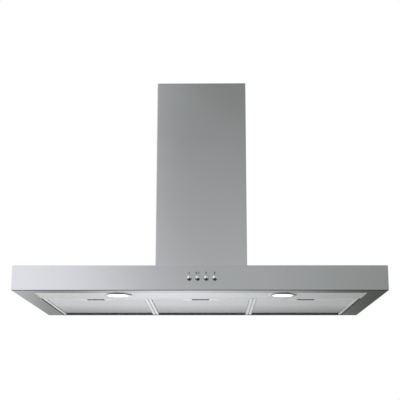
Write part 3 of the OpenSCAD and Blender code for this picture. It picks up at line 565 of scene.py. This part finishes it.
def finishes(context):
    """Makes each finish once, and gives them all by name."""
    made = context.scene.get("hood_finishes")
    if made:
        return {key: bpy.data.materials[name] for key, name in made.items()}
    sheet = context.scene.hood_sheet
    mesh = context.scene.hood_filter
    control = context.scene.hood_control
    stage = context.scene.hood_stage
    all_made = {
        "stainless": brushed_stainless("brushed_304_steel", tuple(sheet.steel)),
        "panel_steel": brushed_stainless("clear_lacquered_lamp_panel", colour("f6f7f8"), 0.34, 0.6),
        "galvanised": galvanised_sheet("galvanised_steel", tuple(sheet.zinc)),
        # Painted shade: zinc made near black, standing in for the shade at the wall behind the filters
        "back": galvanised_sheet("dark_zinc_painted_shade", colour("303234"), 0.0, 0.8, 0.1),
        "chrome": polished_metal("bright_chrome_plate", tuple(control.chrome), 0.07),
        "reflector": polished_metal("polished_aluminium_reflector", colour("e6e6e4"), 0.12),
        "ground_steel": polished_metal("ground_steel_shaft", colour("a9abae"), 0.28),
        "zinc_plate": polished_metal("zinc_plated_screw", colour("b7babd"), 0.3),
        "glass": frosted_glass("frosted_lamp_glass", stage.lamp_glow),
        # The mesh carries painted shade that darkens it towards the wall
        "mesh": expanded_mesh(
            "expanded_aluminium_mesh", tuple(mesh.mesh), colour("c2c4c6"), metallic=0.45, wall_shade_share=0.46),
        "core": expanded_mesh(
            "layered_mesh_in_shade", tuple(mesh.core), colour("0c0c0d"), (12.0, 6.0), 0.0, 0.8, 0.05),
        # Painted shade: matt black for the strip along each filter's air slot and for the latches' finger cups
        "shade": moulded_plastic("black_painted_shade", colour("0e0e10"), 0.85, 1.0, 0.0, 0.1),
        "strip": rolled_aluminium("mill_finish_aluminium", colour("eceded")),
        "black": moulded_plastic("black_abs", colour("232427"), 0.48),
        "grey": moulded_plastic("grey_polypropylene", colour("7c7f82"), 0.5),
        "can": moulded_plastic("white_polypropylene_can", colour("dcdcda"), 0.42),
        "cast": moulded_plastic("die_cast_motor_paint", colour("85888c"), 0.45, 0.6, 0.6),
        "ceramic": moulded_plastic("unglazed_ceramic", colour("e8e4da"), 0.7, 0.5),
        "lead": moulded_plastic("pvc_lead_sleeve", colour("1d1e20"), 0.4, 1.2),
        "ink": moulded_plastic("screen_printed_ink", tuple(control.ink), 0.55, 0.4),
    }
    context.scene["hood_finishes"] = {key: material.name for key, material in all_made.items()}
    return all_made


# The stage

# Brightness of the studio round the hood, as (place, level). Most go round it: the place
# is an angle from straight behind the camera, at the height that the front (LOW), the chimney's foot
# (MIDDLE) or its top (HIGH) shows. UNDER and FLOOR go across it: the place is a share of the way sideways
LEFT_PANELS = ((-3.14, 0.72), (-2.8, 0.85), (-1.9, 0.95))
RIGHT_PANELS = ((0.6, 0.4), (1.3, 0.75), (1.9, 0.6), (2.7, 0.5), (3.14, 0.72))
LOW_PANELS = LEFT_PANELS + (
    (-0.9, 1.05), (-0.3, 1.36), (-0.2, 1.26), (-0.13, 1.16), (-0.08, 0.98), (-0.04, 0.76), (0.0, 0.7),
    (0.04, 0.64), (0.1, 0.52), (0.16, 0.43), (0.25, 0.37),
) + RIGHT_PANELS
MIDDLE_PANELS = LEFT_PANELS + (
    (-0.9, 1.05), (-0.25, 1.3), (-0.15, 1.05), (-0.1, 0.6), (-0.07, 0.42), (-0.03, 0.4), (0.0, 0.62),
    (0.03, 0.95), (0.06, 1.05), (0.1, 0.9), (0.18, 0.65), (0.3, 0.5),
) + RIGHT_PANELS
HIGH_PANELS = LEFT_PANELS + (
    (-0.8, 1.05), (-0.25, 1.3), (-0.15, 1.2), (-0.125, 0.85), (-0.095, 0.45), (-0.055, 0.28), (0.0, 0.2),
    (0.06, 0.15), (0.25, 0.25),
) + RIGHT_PANELS
UNDER_PANELS = (
    (-0.5, 0.95), (-0.3, 0.95), (-0.24, 0.85), (-0.205, 0.7), (-0.18, 0.42), (-0.15, 0.44), (-0.12, 0.74),
    (-0.07, 1.05), (-0.02, 1.02), (0.03, 0.74), (0.07, 0.56), (0.1, 0.4), (0.13, 0.24), (0.17, 0.13),
    (0.25, 0.12), (0.5, 0.28),
)
FLOOR_SHADE = ((-1.0, 0.3), (-0.5, 0.1), (-0.1, 0.04), (0.3, 0.02), (0.7, 0.06), (1.0, 0.3))


class HOOD_OT_stage(bpy.types.Operator):
    """Adds the floor, the soft light and the camera"""
    bl_idname = "hood.stage"
    bl_label = "Stage"

    def execute(self, context):
        stage = context.scene.hood_stage
        deselect_all()
        bpy.ops.mesh.primitive_circle_add(
            vertices=96, radius=6.0, fill_type="NGON", location=(0, 0, UNDERSIDE * MM - stage.floor_drop))
        floor = context.object
        floor.name = "studio_floor"
        apply_transform()
        floor.data.materials.append(self.floor_paint())
        floor.visible_glossy = False
        self.studio_light(context, stage)
        self.camera(context)
        return {"FINISHED"}

    def floor_paint(self):
        """Matt white studio paint, rolled on."""
        material, tree, place = new_material("matt_studio_paint")
        stipple = noise(tree, place, 40.0, 4.0)
        tone = mix(tree, stipple, opaque(colour("e4e4e3")), opaque(colour("eaeae9")))
        return surface(material, {"Base Color": tone, "Roughness": 0.8})

    def studio_light(self, context, stage):
        """A white surround whose reflection runs from bright on the left to dim on the right."""
        world = bpy.data.worlds.new("studio_surround")
        context.scene.world = world
        world.use_nodes = True
        tree = world.node_tree
        tree.nodes.clear()
        sideways, depth, height = axes(tree, add_node(tree, "ShaderNodeTexCoord").outputs["Generated"])
        ahead = arithmetic(tree, "MULTIPLY", depth, -1.0)
        turned = arithmetic(tree, "ARCTAN2", sideways, ahead)
        # Behind the camera: what the canopy's front shows, what the chimney's foot shows, and what its top shows
        low = self.surround(tree, turned, math.pi, LOW_PANELS)
        high = self.surround(tree, turned, math.pi, HIGH_PANELS)
        middle = self.surround(tree, turned, math.pi, MIDDLE_PANELS)
        foot = self.blend(tree, height, 0.17, 0.2, low, middle)
        room = self.blend(tree, height, 0.23, 0.31, foot, high)
        # Towards the wall and below the hood: what its underside shows
        under = self.surround(tree, sideways, 0.5, UNDER_PANELS)
        dark = self.surround(tree, sideways, 1.0, FLOOR_SHADE)
        near = self.blend(tree, height, -0.3, -0.08, dark, room)
        below = self.blend(tree, depth, -0.1, 0.5, near, under)
        bottom = self.blend(tree, height, -0.75, -0.35, dark, below)
        level = self.blend(tree, height, -0.05, 0.07, bottom, room)
        top = add_node(tree, "ShaderNodeRGB")
        top.outputs[0].default_value = (0.95, 0.95, 0.97, 1)
        dome = self.blend(tree, height, 0.75, 0.95, level, top.outputs[0])
        seen = add_node(tree, "ShaderNodeLightPath")
        light = add_node(tree, "ShaderNodeBackground", None, {"Color": dome, "Strength": 1.0})
        white = add_node(tree, "ShaderNodeBackground", None, {"Color": (1, 1, 1, 1), "Strength": 1.0})
        both = add_node(
            tree, "ShaderNodeMixShader", None,
            {0: seen.outputs["Is Camera Ray"], 1: light.outputs[0], 2: white.outputs[0]})
        add_node(tree, "ShaderNodeOutputWorld", None, {"Surface": both.outputs[0]})
        self.softbox("key_softbox", (-2.2, -2.4, 1.9), (1.8, 1.4), stage.key_power)
        self.softbox("low_bounce", (-0.3, -0.95, -0.9), (1.0, 0.5), stage.bounce_power)
        context.scene.view_settings.view_transform = "Standard"
        context.scene.view_settings.look = "None"

    def softbox(self, name, place, size, power):
        """A large soft light turned to the canopy, which only matt surfaces show."""
        deselect_all()
        bpy.ops.object.light_add(type="AREA", location=place)
        light = bpy.context.object
        light.name = name
        light.data.shape = "RECTANGLE"
        light.data.size, light.data.size_y = size
        light.data.energy = power
        light.rotation_euler = (Vector((0, -0.2, 0)) - light.location).to_track_quat("-Z", "Y").to_euler()
        light.visible_camera = False
        light.visible_glossy = False

    def surround(self, tree, value, reach, stops):
        """A run of grey panels placed by a value from -reach to +reach."""
        share = spread(tree, value, -reach, reach, 0.0, 1.0)
        panels = add_node(tree, "ShaderNodeValToRGB", None, {"Fac": share})
        ramp = panels.color_ramp.elements
        while len(ramp) > 1:
            ramp.remove(ramp[-1])
        for index, (where, level) in enumerate(stops):
            position = where / reach / 2 + 0.5
            stop = ramp[0] if index == 0 else ramp.new(position)
            stop.position = position
            # Cool where bright, faintly green where dim
            bright = max(0.0, min(1.0, (level - 0.3) / 0.7))
            stop.color = (level * (0.96 + 0.035 * bright), level, level * (0.93 + 0.11 * bright), 1)
        return panels.outputs[0]

    def blend(self, tree, value, start, end, first, second):
        """Passes from the first colour to the second as the value goes from start to end."""
        share = spread(tree, value, start, end, 0.0, 1.0, "SMOOTHSTEP")
        return mix(tree, share, first, second)

    def camera(self, context):
        """A long lens below the canopy, turned up at it, as fitted to the photograph's edges."""
        deselect_all()
        tilt, aside, lean = math.radians(90 + 12.38), math.radians(0.90), math.radians(0.10)
        turned = Matrix.Rotation(aside, 3, "Z") @ Matrix.Rotation(tilt, 3, "X") @ Matrix.Rotation(lean, 3, "Z")
        bpy.ops.object.camera_add(
            location=Vector((34.4, FRONT - 2136.0, UNDERSIDE - 311.9)) * MM, rotation=turned.to_euler())
        camera = context.object
        camera.name = "photo_camera"
        camera.data.sensor_width = 36
        camera.data.lens = 81.44
        camera.data.shift_y = 0.065
        camera.data.clip_end = 60
        context.scene.camera = camera


# Folded steel pieces

def is_fold(edge):
    return len(edge.link_faces) == 2 and edge.calc_face_angle() > 1.0


def fold(piece, radius, segments=4):
    """Rounds the folds of an open sheet in edit mode."""
    pick(piece, "EDGE", is_fold)
    bpy.ops.mesh.bevel(offset=radius, segments=segments, affect="EDGES", clamp_overlap=True)


def thicken(piece, thickness):
    apply_modifier(piece, "SOLIDIFY", thickness=thickness, offset=-1.0, use_even_offset=True)


class HOOD_OT_canopy(bpy.types.Operator):
    """Folds the wide canopy with its flanges and button holes"""
    bl_idname = "hood.canopy"
    bl_label = "Canopy"

    def execute(self, context):
        sheet = context.scene.hood_sheet
        low, high = CANOPY_LOW, CANOPY_HIGH
        side = high.x - sheet.side_flange / MM
        front = low.y + sheet.front_flange / MM
        chassis_low, chassis_high = node_box("chassis")
        canopy = start_box("canopy_sheet", low, high)
        edit(canopy)
        cut(canopy, "X", (-side, side), faces_down)
        cut(canopy, "Y", (front,), faces_down)
        cut_rim(canopy, chassis_low, chassis_high, AIR_LIP, faces_up)
        drop_faces(canopy, lambda f: (
            faces_wall(f)
            or (faces_down(f) and abs(middle(f).x) < side and middle(f).y > front)
            or (faces_up(f) and in_rim(f, chassis_low, chassis_high, AIR_LIP))))
        fold(canopy, sheet.fold_radius)
        leave_edit()
        thicken(canopy, sheet.thickness)
        holes = []
        for name in BUTTONS:
            centre = node_middle("button_" + name)
            holes.append(drill((centre.x, FRONT, centre.z), BUTTON_HOLE_R, PAST, -PAST, 40, "-Y"))
        subtract(canopy, *holes)
        smooth(canopy)
        settle(canopy, "housing", finishes(context)["stainless"], "stainless", "canopy_shell")
        return {"FINISHED"}


class HOOD_OT_lamp_panel(bpy.types.Operator):
    """Folds the tray that carries the lamps"""
    bl_idname = "hood.lamp_panel"
    bl_label = "Lamp panel"

    def execute(self, context):
        sheet = context.scene.hood_sheet
        low, high = node_box("lamp_panel")
        panel = start_box("lamp_panel_tray", low, high)
        edit(panel)
        drop_faces(panel, lambda f: faces_up(f) or abs(f.normal.x) > 0.5)
        fold(panel, 1.2 * MM, 3)
        leave_edit()
        thicken(panel, sheet.thickness)
        cutters = []
        for name in ("left", "right"):
            centre = node_middle("lamp_ring_" + name)
            cutters.append(drill((centre.x, centre.y, low.z), LAMP_HOLE_R, -PAST, PAST, 72))
        for name in SIDES:
            latch_low, latch_high = node_box("latch_" + name)
            x = (latch_low.x + latch_high.x) / 2
            half, (foot, head) = TONGUE_HALF + LATCH_PLAY, TONGUE_RISE
            cutters.append(start_box(
                "slot", (x - half, high.y - 3, UNDERSIDE + foot - LATCH_PLAY),
                (x + half, high.y + 3, UNDERSIDE + head + LATCH_PLAY)))
        subtract(panel, *cutters)
        smooth(panel)
        settle(panel, "housing", finishes(context)["panel_steel"], "stainless", "lamp_panel")
        return {"FINISHED"}


class HOOD_OT_lamps(bpy.types.Operator):
    """Turns the lamp rings and their frosted glasses"""
    bl_idname = "hood.lamps"
    bl_label = "Lamps"

    def execute(self, context):
        finish = finishes(context)
        for name in ("left", "right"):
            low, high = node_box("lamp_ring_" + name)
            centre = (low + high) / 2
            at = (centre.x, centre.y, low.z)
            outer, view = centre.x - low.x, VIEW_R
            ring = turn("lamp_ring_%s_turned" % name, at, [
                (view, 0.35), (view + 0.3, 0.08), (view + 0.9, 0.0), (outer - 2.4, 0.0), (outer - 1.4, 0.25),
                (outer - 0.6, 0.8), (outer - 0.15, 1.6), (outer, 2.4), (outer, 3.0), (COLLAR_R, 3.0),
                (COLLAR_R, 12.0), (COLLAR_R - 1.5, 12.0), (COLLAR_R - 1.5, 1.0), (view, 1.0), (view, 0.35)], 72)
            smooth(ring, 40)
            settle(ring, "housing", finish["chrome"], "ring_chrome", "lamp_ring_" + name)
            glass = turn("lamp_glass_%s_turned" % name, at, [
                (0, 0.35), (8, 0.38), (15, 0.5), (20, 0.66), (view - 1.1, 0.9), (view - 0.3, 1.0),
                (view + 1.2, 1.02), (view + 1.5, 1.3), (view + 1.5, 3.7), (view + 1.2, 4.0), (0, 4.0)], 72)
            smooth(glass, 40)
            settle(glass, "housing", finish["glass"], "frosted_glass", "lamp_glass_" + name)
        return {"FINISHED"}


class HOOD_OT_filters(bpy.types.Operator):
    """Builds the three filters that catch cooking fat, and their latches"""
    bl_idname = "hood.filters"
    bl_label = "Grease filters"

    def execute(self, context):
        finish = finishes(context)
        settings = context.scene.hood_filter
        for name in SIDES:
            body = "filter_" + name
            frame_piece = self.frame(name, settings)
            settle(frame_piece, body, finish["strip"], "filter_aluminium", "filter_frame_" + name)
            # A black strip of painted shade along the filter's air slot
            settle(self.rear_shade_strip(name, settings), body, finish["shade"], "filter_aluminium")
            face = self.face(name, settings)
            settle(face, body, finish["mesh"], "filter_mesh", "filter_face_" + name)
            latch = self.latch(name)
            settle(latch, "latch_" + name, finish["strip"], "latch_steel", "latch_" + name)
            # The finger cup is matt black as painted shade
            settle(self.pocket(name), "latch_" + name, finish["shade"], "black_plastic")
        return {"FINISHED"}

    def frame(self, name, settings):
        """The folded frame: a flat ring with rounded edges, and two tabs at the wall."""
        low, high = node_box("filter_frame_" + name)
        core_high = node_box("filter_core_" + name)[1]
        border = settings.border / MM
        rear, inner_rear = core_high.y + MESH_BITE, core_high.y - MESH_BITE
        piece = start_box("filter_frame_%s_folded" % name, low, (high.x, rear, high.z))
        edit(piece)
        cut(piece, "X", (low.x + border, high.x - border), is_level)
        cut(piece, "Y", (low.y + border, inner_rear), is_level)
        drop_faces(piece, lambda f: (
            is_level(f) and low.x + border < middle(f).x < high.x - border
            and low.y + border < middle(f).y < inner_rear))
        pick(piece, "EDGE", lambda e: e.is_boundary)
        bpy.ops.mesh.bridge_edge_loops()
        bpy.ops.mesh.select_all(action="SELECT")
        bpy.ops.mesh.dissolve_limited(angle_limit=math.radians(1))
        bpy.ops.mesh.select_all(action="SELECT")
        bpy.ops.mesh.normals_make_consistent(inside=False)
        leave_edit()
        round_edges(piece, settings.edge_radius, 3)
        tabs = []
        for side in (-TAB_X, TAB_X):
            x = (low.x + high.x) / 2 + side
            tab = start_box(
                "tab", (x - TAB_HALF, rear - 0.5, UNDERSIDE + TAB_RISE[0]),
                (x + TAB_HALF, high.y, UNDERSIDE + TAB_RISE[1]))
            round_edges(tab, 0.3 * MM, 2)
            tabs.append(tab)
        join(piece, *tabs)
        return smooth(piece)

    def rear_shade_strip(self, name, settings):
        """A black strip of painted shade along the air slot, which covers the frame's rear bar."""
        low, high = node_box("filter_frame_" + name)
        core_high = node_box("filter_core_" + name)[1]
        side = settings.border / MM + 0.4
        dark_strip = start_box(
            "filter_shade_strip_" + name, (low.x + side, core_high.y - 3.2, low.z + 0.05),
            (high.x - side, core_high.y + 1.4, low.z + 1.4))
        round_edges(dark_strip, 0.4 * MM, 3)
        return smooth(dark_strip)

    def face(self, name, settings):
        """The mesh sheet, a narrow shadow line inside the frame, cut out round the latch."""
        low, high = node_box("filter_face_" + name)
        frame_low, frame_high = node_box("filter_frame_" + name)
        inside = settings.border / MM + 0.8
        piece = start_box(
            "filter_face_%s_mesh" % name, (frame_low.x + inside, low.y, low.z),
            (frame_high.x - inside, high.y, high.z))
        latch_low, latch_high = node_box("latch_" + name)
        x = (latch_low.x + latch_high.x) / 2
        half = CUP_HALF + LATCH_PLAY
        hole = start_box(
            "hole", (x - half, latch_high.y - PLATE_D + 1.0, low.z - PAST),
            (x + half, latch_high.y - 1.4, high.z + PAST))
        subtract(piece, hole)
        round_edges(piece, 0.35 * MM, 2)
        return smooth(piece)

    def latch(self, name):
        """A pressed plate with a rolled bead before its finger hole, and its tongue."""
        low, high = node_box("latch_" + name)
        x = (low.x + high.x) / 2
        plate_front = high.y - PLATE_D
        front, rear = plate_front + PLATE_LEDGE, plate_front + PLATE_LEDGE + CUP_D
        plate = start_box("latch_%s_pressed" % name, (low.x, plate_front, low.z), (high.x, high.y, low.z + PLATE_T))
        subtract(plate, start_box("hole", (x - CUP_HALF, front, low.z - PAST), (x + CUP_HALF, rear, low.z + PAST)))
        round_edges(plate, 0.1 * MM, 2)
        tongue = start_box(
            "tongue", (x - TONGUE_HALF, low.y, UNDERSIDE + TONGUE_RISE[0]),
            (x + TONGUE_HALF, front + 2, UNDERSIDE + TONGUE_RISE[1]))
        round_edges(tongue, 0.4 * MM, 2)
        deselect_all()
        bpy.ops.mesh.primitive_cylinder_add(
            vertices=20, radius=0.6 * MM, depth=43 * MM, rotation=(0, math.radians(90), 0),
            location=Vector((x, front - 0.5, low.z + 0.5)) * MM)
        bead = bpy.context.object
        apply_transform()
        round_edges(bead, 0.4 * MM, 3)
        join(plate, tongue, bead)
        return smooth(plate)

    def pocket(self, name):
        """The finger cup behind the latch plate."""
        low, high = node_box("latch_" + name)
        x = (low.x + high.x) / 2
        front = high.y - PLATE_D + PLATE_LEDGE
        rear = front + CUP_D
        cup = start_box("latch_%s_cup" % name, (x - CUP_HALF, front, low.z), (x + CUP_HALF, rear, high.z))
        edit(cup)
        drop_faces(cup, faces_down)
        fold(cup, 0.8 * MM, 3)
        leave_edit()
        thicken(cup, 1.0 * MM)
        return smooth(cup)


class HOOD_OT_buttons(bpy.types.Operator):
    """Turns the push buttons and prints the marks over them"""
    bl_idname = "hood.buttons"
    bl_label = "Push buttons"

    def execute(self, context):
        finish = finishes(context)
        control = context.scene.hood_control
        marks = {"light": None, "speed_1": "0 1", "speed_2": "2", "speed_3": "3"}
        for name in BUTTONS:
            low, high = node_box("button_" + name)
            x, z = (low.x + high.x) / 2, (low.z + high.z) / 2
            reach = FRONT - low.y
            # Radius of the ball that the dome is a cap of
            ball = (BUTTON_R * BUTTON_R + reach * reach) / (2 * reach)
            dome = []
            steps = 12
            for k in range(steps + 1):
                r = BUTTON_R * math.sin(math.pi / 2 * k / steps)
                dome.append((r, math.sqrt(max(ball * ball - r * r, 0)) - (ball - reach)))
            # Behind the dome: the collar that stops the button behind the front sheet, and the stem
            button = turn(
                "button_%s_cap" % name, (x, FRONT, z),
                dome + [
                    (BUTTON_R, -1.3), (8.5, -1.3), (8.5, -2.5), (3.5, -2.5), (3.5, FRONT - high.y),
                    (0, FRONT - high.y)],
                40, "-Y")
            smooth(button, 40)
            settle(button, "button_" + name, finish["chrome"], "button_chrome", "button_" + name)
            at = Vector((x * MM, (FRONT - 0.03) * MM, UNDERSIDE * MM + control.mark_rise))
            mark = self.lamp_mark(at, control) if marks[name] is None else self.figure(marks[name], at, control)
            mark.name = mark.data.name = "mark_" + name
            settle(mark, "housing", finish["ink"], "black_plastic")
        return {"FINISHED"}

    def figure(self, text, at, control):
        """A printed figure."""
        deselect_all()
        bpy.ops.object.text_add(location=at, rotation=(math.radians(90), 0, 0))
        mark = bpy.context.object
        mark.data.body = text
        mark.data.size = control.mark_height / 0.72
        mark.data.align_x = "CENTER"
        mark.data.align_y = "CENTER"
        mark.data.extrude = 0.02 * MM
        mark.data.offset = 0.4 * MM
        mark.data.resolution_u = 4
        bpy.ops.object.convert(target="MESH")
        mark = bpy.context.object
        apply_transform()
        return mark

    def lamp_mark(self, at, control):
        """A printed bulb: a ring over a small cap."""
        size = control.mark_height / MM
        centre = at / MM
        ring = turn("mark", centre, [
            (size * 0.24, -0.02), (size * 0.40, -0.02), (size * 0.40, 0.02), (size * 0.24, 0.02),
            (size * 0.24, -0.02)], 24, "-Y")
        foot = start_box(
            "foot", (centre.x - size * 0.16, centre.y - 0.02, centre.z - size * 0.62),
            (centre.x + size * 0.16, centre.y + 0.02, centre.z - size * 0.44))
        return join(ring, foot)


class HOOD_OT_chimney(bpy.types.Operator):
    """Folds the two chimney covers"""
    bl_idname = "hood.chimney"
    bl_label = "Chimney covers"

    def execute(self, context):
        finish = finishes(context)
        sheet = context.scene.hood_sheet
        lower = self.cover("chimney_cover_folded", "chimney_cover", sheet, sheet.cover_return / MM)
        smooth(lower)
        settle(lower, "housing", finish["stainless"], "stainless", "chimney_cover")
        upper = self.cover("upper_cover_folded", "upper_cover", sheet, sheet.cover_return / MM - 1)
        low, high = node_box("upper_cover")
        slots = []
        y = (low.y + high.y - 1) / 2
        for k in range(VENT_COUNT):
            z = low.z + VENT_RISE + VENT_PITCH * k
            slots.append(start_box("slot", (low.x - 10, y - VENT_HALF, z), (high.x + 10, y + VENT_HALF, z + VENT_H)))
        subtract(upper, join(*slots))
        smooth(upper)
        settle(upper, "upper_chimney", finish["stainless"], "stainless", "upper_cover")
        return {"FINISHED"}

    def cover(self, name, node, sheet, turn_in):
        """A sheet folded round three sides, with narrow edges turned in at the wall."""
        low, high = node_box(node)
        piece = start_box(name, low, high)
        edit(piece)
        cut(piece, "X", (low.x + turn_in, high.x - turn_in), faces_wall)
        drop_faces(piece, lambda f: (
            is_level(f) or (faces_wall(f) and low.x + turn_in < middle(f).x < high.x - turn_in)))
        fold(piece, sheet.fold_radius)
        leave_edit()
        thicken(piece, sheet.thickness)
        return piece


class HOOD_OT_chassis(bpy.types.Operator):
    """Folds the galvanised chassis that hangs on the wall"""
    bl_idname = "hood.chassis"
    bl_label = "Chassis"

    def execute(self, context):
        low, high = node_box("chassis")
        piece = start_box("chassis_folded", low, high)
        edit(piece)
        cut_rim(piece, low, high, AIR_LIP, faces_down)
        drop_faces(piece, lambda f: faces_down(f) and in_rim(f, low, high, AIR_LIP))
        fold(piece, 1.5 * MM, 3)
        pick(piece, "FACE", lambda f: f.normal.y > 0.9 and f.calc_area() > 0.01)
        bpy.ops.mesh.inset(thickness=PRESSED_BORDER * MM, depth=0)
        bpy.ops.mesh.inset(thickness=PRESSED_STEP * MM, depth=-PRESSED_D * MM)
        leave_edit()
        thicken(piece, 1.2 * MM)
        centre = node_middle("outlet_collar")
        cutters = [drill((centre.x, centre.y, high.z), OUTLET_R, -PAST, PAST, 72)]
        for x, z in WALL_HOLES:
            cutters.append(drill((x, 0, z), WALL_HOLE_R, 4, -4, 32, "-Y"))
        loom_end = node_box("wiring_loom")[1].x - LOOM_INSET
        cutters.append(drill((loom_end, LOOM_Y, high.z), LOOM_HOLE_R, -PAST, PAST, 32))
        subtract(piece, *cutters)
        smooth(piece)
        settle(piece, "housing", finishes(context)["galvanised"], "galvanised", "chassis")
        return {"FINISHED"}


class HOOD_OT_electrics(bpy.types.Operator):
    """Builds the terminal box, the cable gland and the capacitor"""
    bl_idname = "hood.electrics"
    bl_label = "Electrical parts"

    def execute(self, context):
        finish = finishes(context)
        low, high = node_box("terminal_box")
        box = start_box("terminal_box_moulded", low, high)
        edit(box)
        # A groove under the lid
        top, foot = high.z - 7, high.z - 8
        cut(box, "Z", (top, foot), is_upright)
        pick(box, "FACE", lambda f: is_upright(f) and foot < middle(f).z < top)
        bpy.ops.mesh.extrude_region_shrink_fatten(TRANSFORM_OT_shrink_fatten={"value": -0.7 * MM})
        leave_edit()
        gland_low, gland_high = node_box("cable_gland")
        x, y = (gland_low.x + gland_high.x) / 2, (gland_low.y + gland_high.y) / 2
        round_edges(box, 0.9 * MM, 3)
        subtract(box, drill((x, y, high.z), 5, -12, PAST, 32))
        smooth(box)
        settle(box, "housing", finish["grey"], "grey_plastic", "terminal_box")

        nut = turn("gland_nut", (x, y, gland_low.z), [
            (4.0, 0), (9.2, 0), (9.5, 0.4), (9.5, 4.6), (9.2, 5), (4.0, 5)], 6)
        dome = turn("gland_dome", (x, y, gland_low.z), [
            (4.0, 5), (7.9, 5), (7.9, 8.0), (7.4, 8.4), (7.4, 9.2), (7.6, 9.6), (7.6, 12.0), (7.1, 14.5),
            (6.2, 16.8), (5.6, 17.6), (5.0, 18.0), (4.0, 18.0), (4.0, 5)], 40)
        gland = join(nut, dome)
        gland.name = gland.data.name = "cable_gland_moulded"
        smooth(gland, 40)
        settle(gland, "housing", finish["black"], "black_plastic", "cable_gland")

        low, high = node_box("capacitor")
        x, y = (low.x + high.x) / 2, (low.y + high.y) / 2
        can = turn("capacitor_can", (x, y, low.z), [
            (0, 0), (16.0, 0), (16.5, 0.5), (16.5, 4.5), (16.0, 5.0), (15.0, 5.2), (15.0, 56.5), (14.7, 57.4),
            (14.0, 58.0), (13.2, 58.2), (12.6, 58.0), (12.2, 57.6), (12.0, 59.6), (11.6, 60.0), (0, 60.0)], 48)
        blades = []
        for side in (-1, 1):
            blade = start_box(
                "blade", (x + side * 3.5 - 1.4, y - 0.4, low.z + 59.5), (x + side * 3.5 + 1.4, y + 0.4, high.z))
            round_edges(blade, 0.3 * MM, 2)
            blades.append(blade)
        can = join(can, *blades)
        smooth(can, 40)
        settle(can, "housing", finish["can"], "capacitor_can", "capacitor")
        return {"FINISHED"}


class HOOD_OT_finishes(bpy.types.Operator):
    """Gives each CAD node that stays its own finish"""
    bl_idname = "hood.finishes"
    bl_label = "Finishes"

    def execute(self, context):
        finish = finishes(context)
        kept = {
            "back": ["back_panel"],
            "galvanised": ["switch_bracket", "motor_bracket", "flue_bracket"],
            "reflector": ["lamp_cup_left", "lamp_cup_right"],
            "glass": ["lamp_bulb_left", "lamp_bulb_right"],
            "ceramic": ["bulb_socket_left", "bulb_socket_right"],
            "core": ["filter_core_left", "filter_core_centre", "filter_core_right"],
            "black": ["switch_block", "blower_half_left", "blower_half_right", "outlet_collar"],
            "grey": ["impeller_disc", "impeller_blades", "impeller_rings", "flap_front", "flap_rear"],
            "cast": ["motor"],
            "ground_steel": ["motor_shaft", "flap_pin"],
            "lead": ["wiring_loom"],
            "zinc_plate": ["chassis_screws", "motor_screws", "collar_screws", "switch_screws", "flue_screws"],
        }
        for key, names in kept.items():
            for name in names:
                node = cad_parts[name]
                if not node.material_slots:
                    node.data.materials.append(finish[key])
                for place in node.material_slots:
                    place.material = finish[key]
        return {"FINISHED"}


class HOOD_PT_panel(bpy.types.Panel):
    """Lists the steps that build the hood"""
    bl_idname = "HOOD_PT_panel"
    bl_label = "Range Hood"
    bl_space_type = "VIEW_3D"
    bl_region_type = "UI"
    bl_category = "Range Hood"

    def draw(self, context):
        layout = self.layout
        for settings in ("hood_sheet", "hood_filter", "hood_control", "hood_stage"):
            box = layout.box()
            group = getattr(context.scene, settings)
            for key in group.__annotations__:
                box.prop(group, key)
        for step in STEPS:
            layout.operator(step.bl_idname)


SETTINGS = {
    "hood_sheet": HoodSheetSettings,
    "hood_filter": HoodFilterSettings,
    "hood_control": HoodControlSettings,
    "hood_stage": HoodStageSettings,
}
STEPS = (
    HOOD_OT_stage, HOOD_OT_canopy, HOOD_OT_lamp_panel, HOOD_OT_lamps, HOOD_OT_filters, HOOD_OT_buttons,
    HOOD_OT_chimney, HOOD_OT_chassis, HOOD_OT_electrics, HOOD_OT_finishes,
)


def register():
    for name, group in SETTINGS.items():
        bpy.utils.register_class(group)
        setattr(bpy.types.Scene, name, bpy.props.PointerProperty(type=group))
    for step in STEPS + (HOOD_PT_panel,):
        bpy.utils.register_class(step)


def unregister():
    for step in reversed(STEPS + (HOOD_PT_panel,)):
        bpy.utils.unregister_class(step)
    for name, group in reversed(list(SETTINGS.items())):
        delattr(bpy.types.Scene, name)
        bpy.utils.unregister_class(group)


def main():
    register()
    bpy.ops.hood.stage()
    bpy.ops.hood.canopy()
    bpy.ops.hood.lamp_panel()
    bpy.ops.hood.lamps()
    bpy.ops.hood.filters()
    bpy.ops.hood.buttons()
    bpy.ops.hood.chimney()
    bpy.ops.hood.chassis()
    bpy.ops.hood.electrics()
    bpy.ops.hood.finishes()
    deselect_all()


if __name__ == "__main__":
    main()
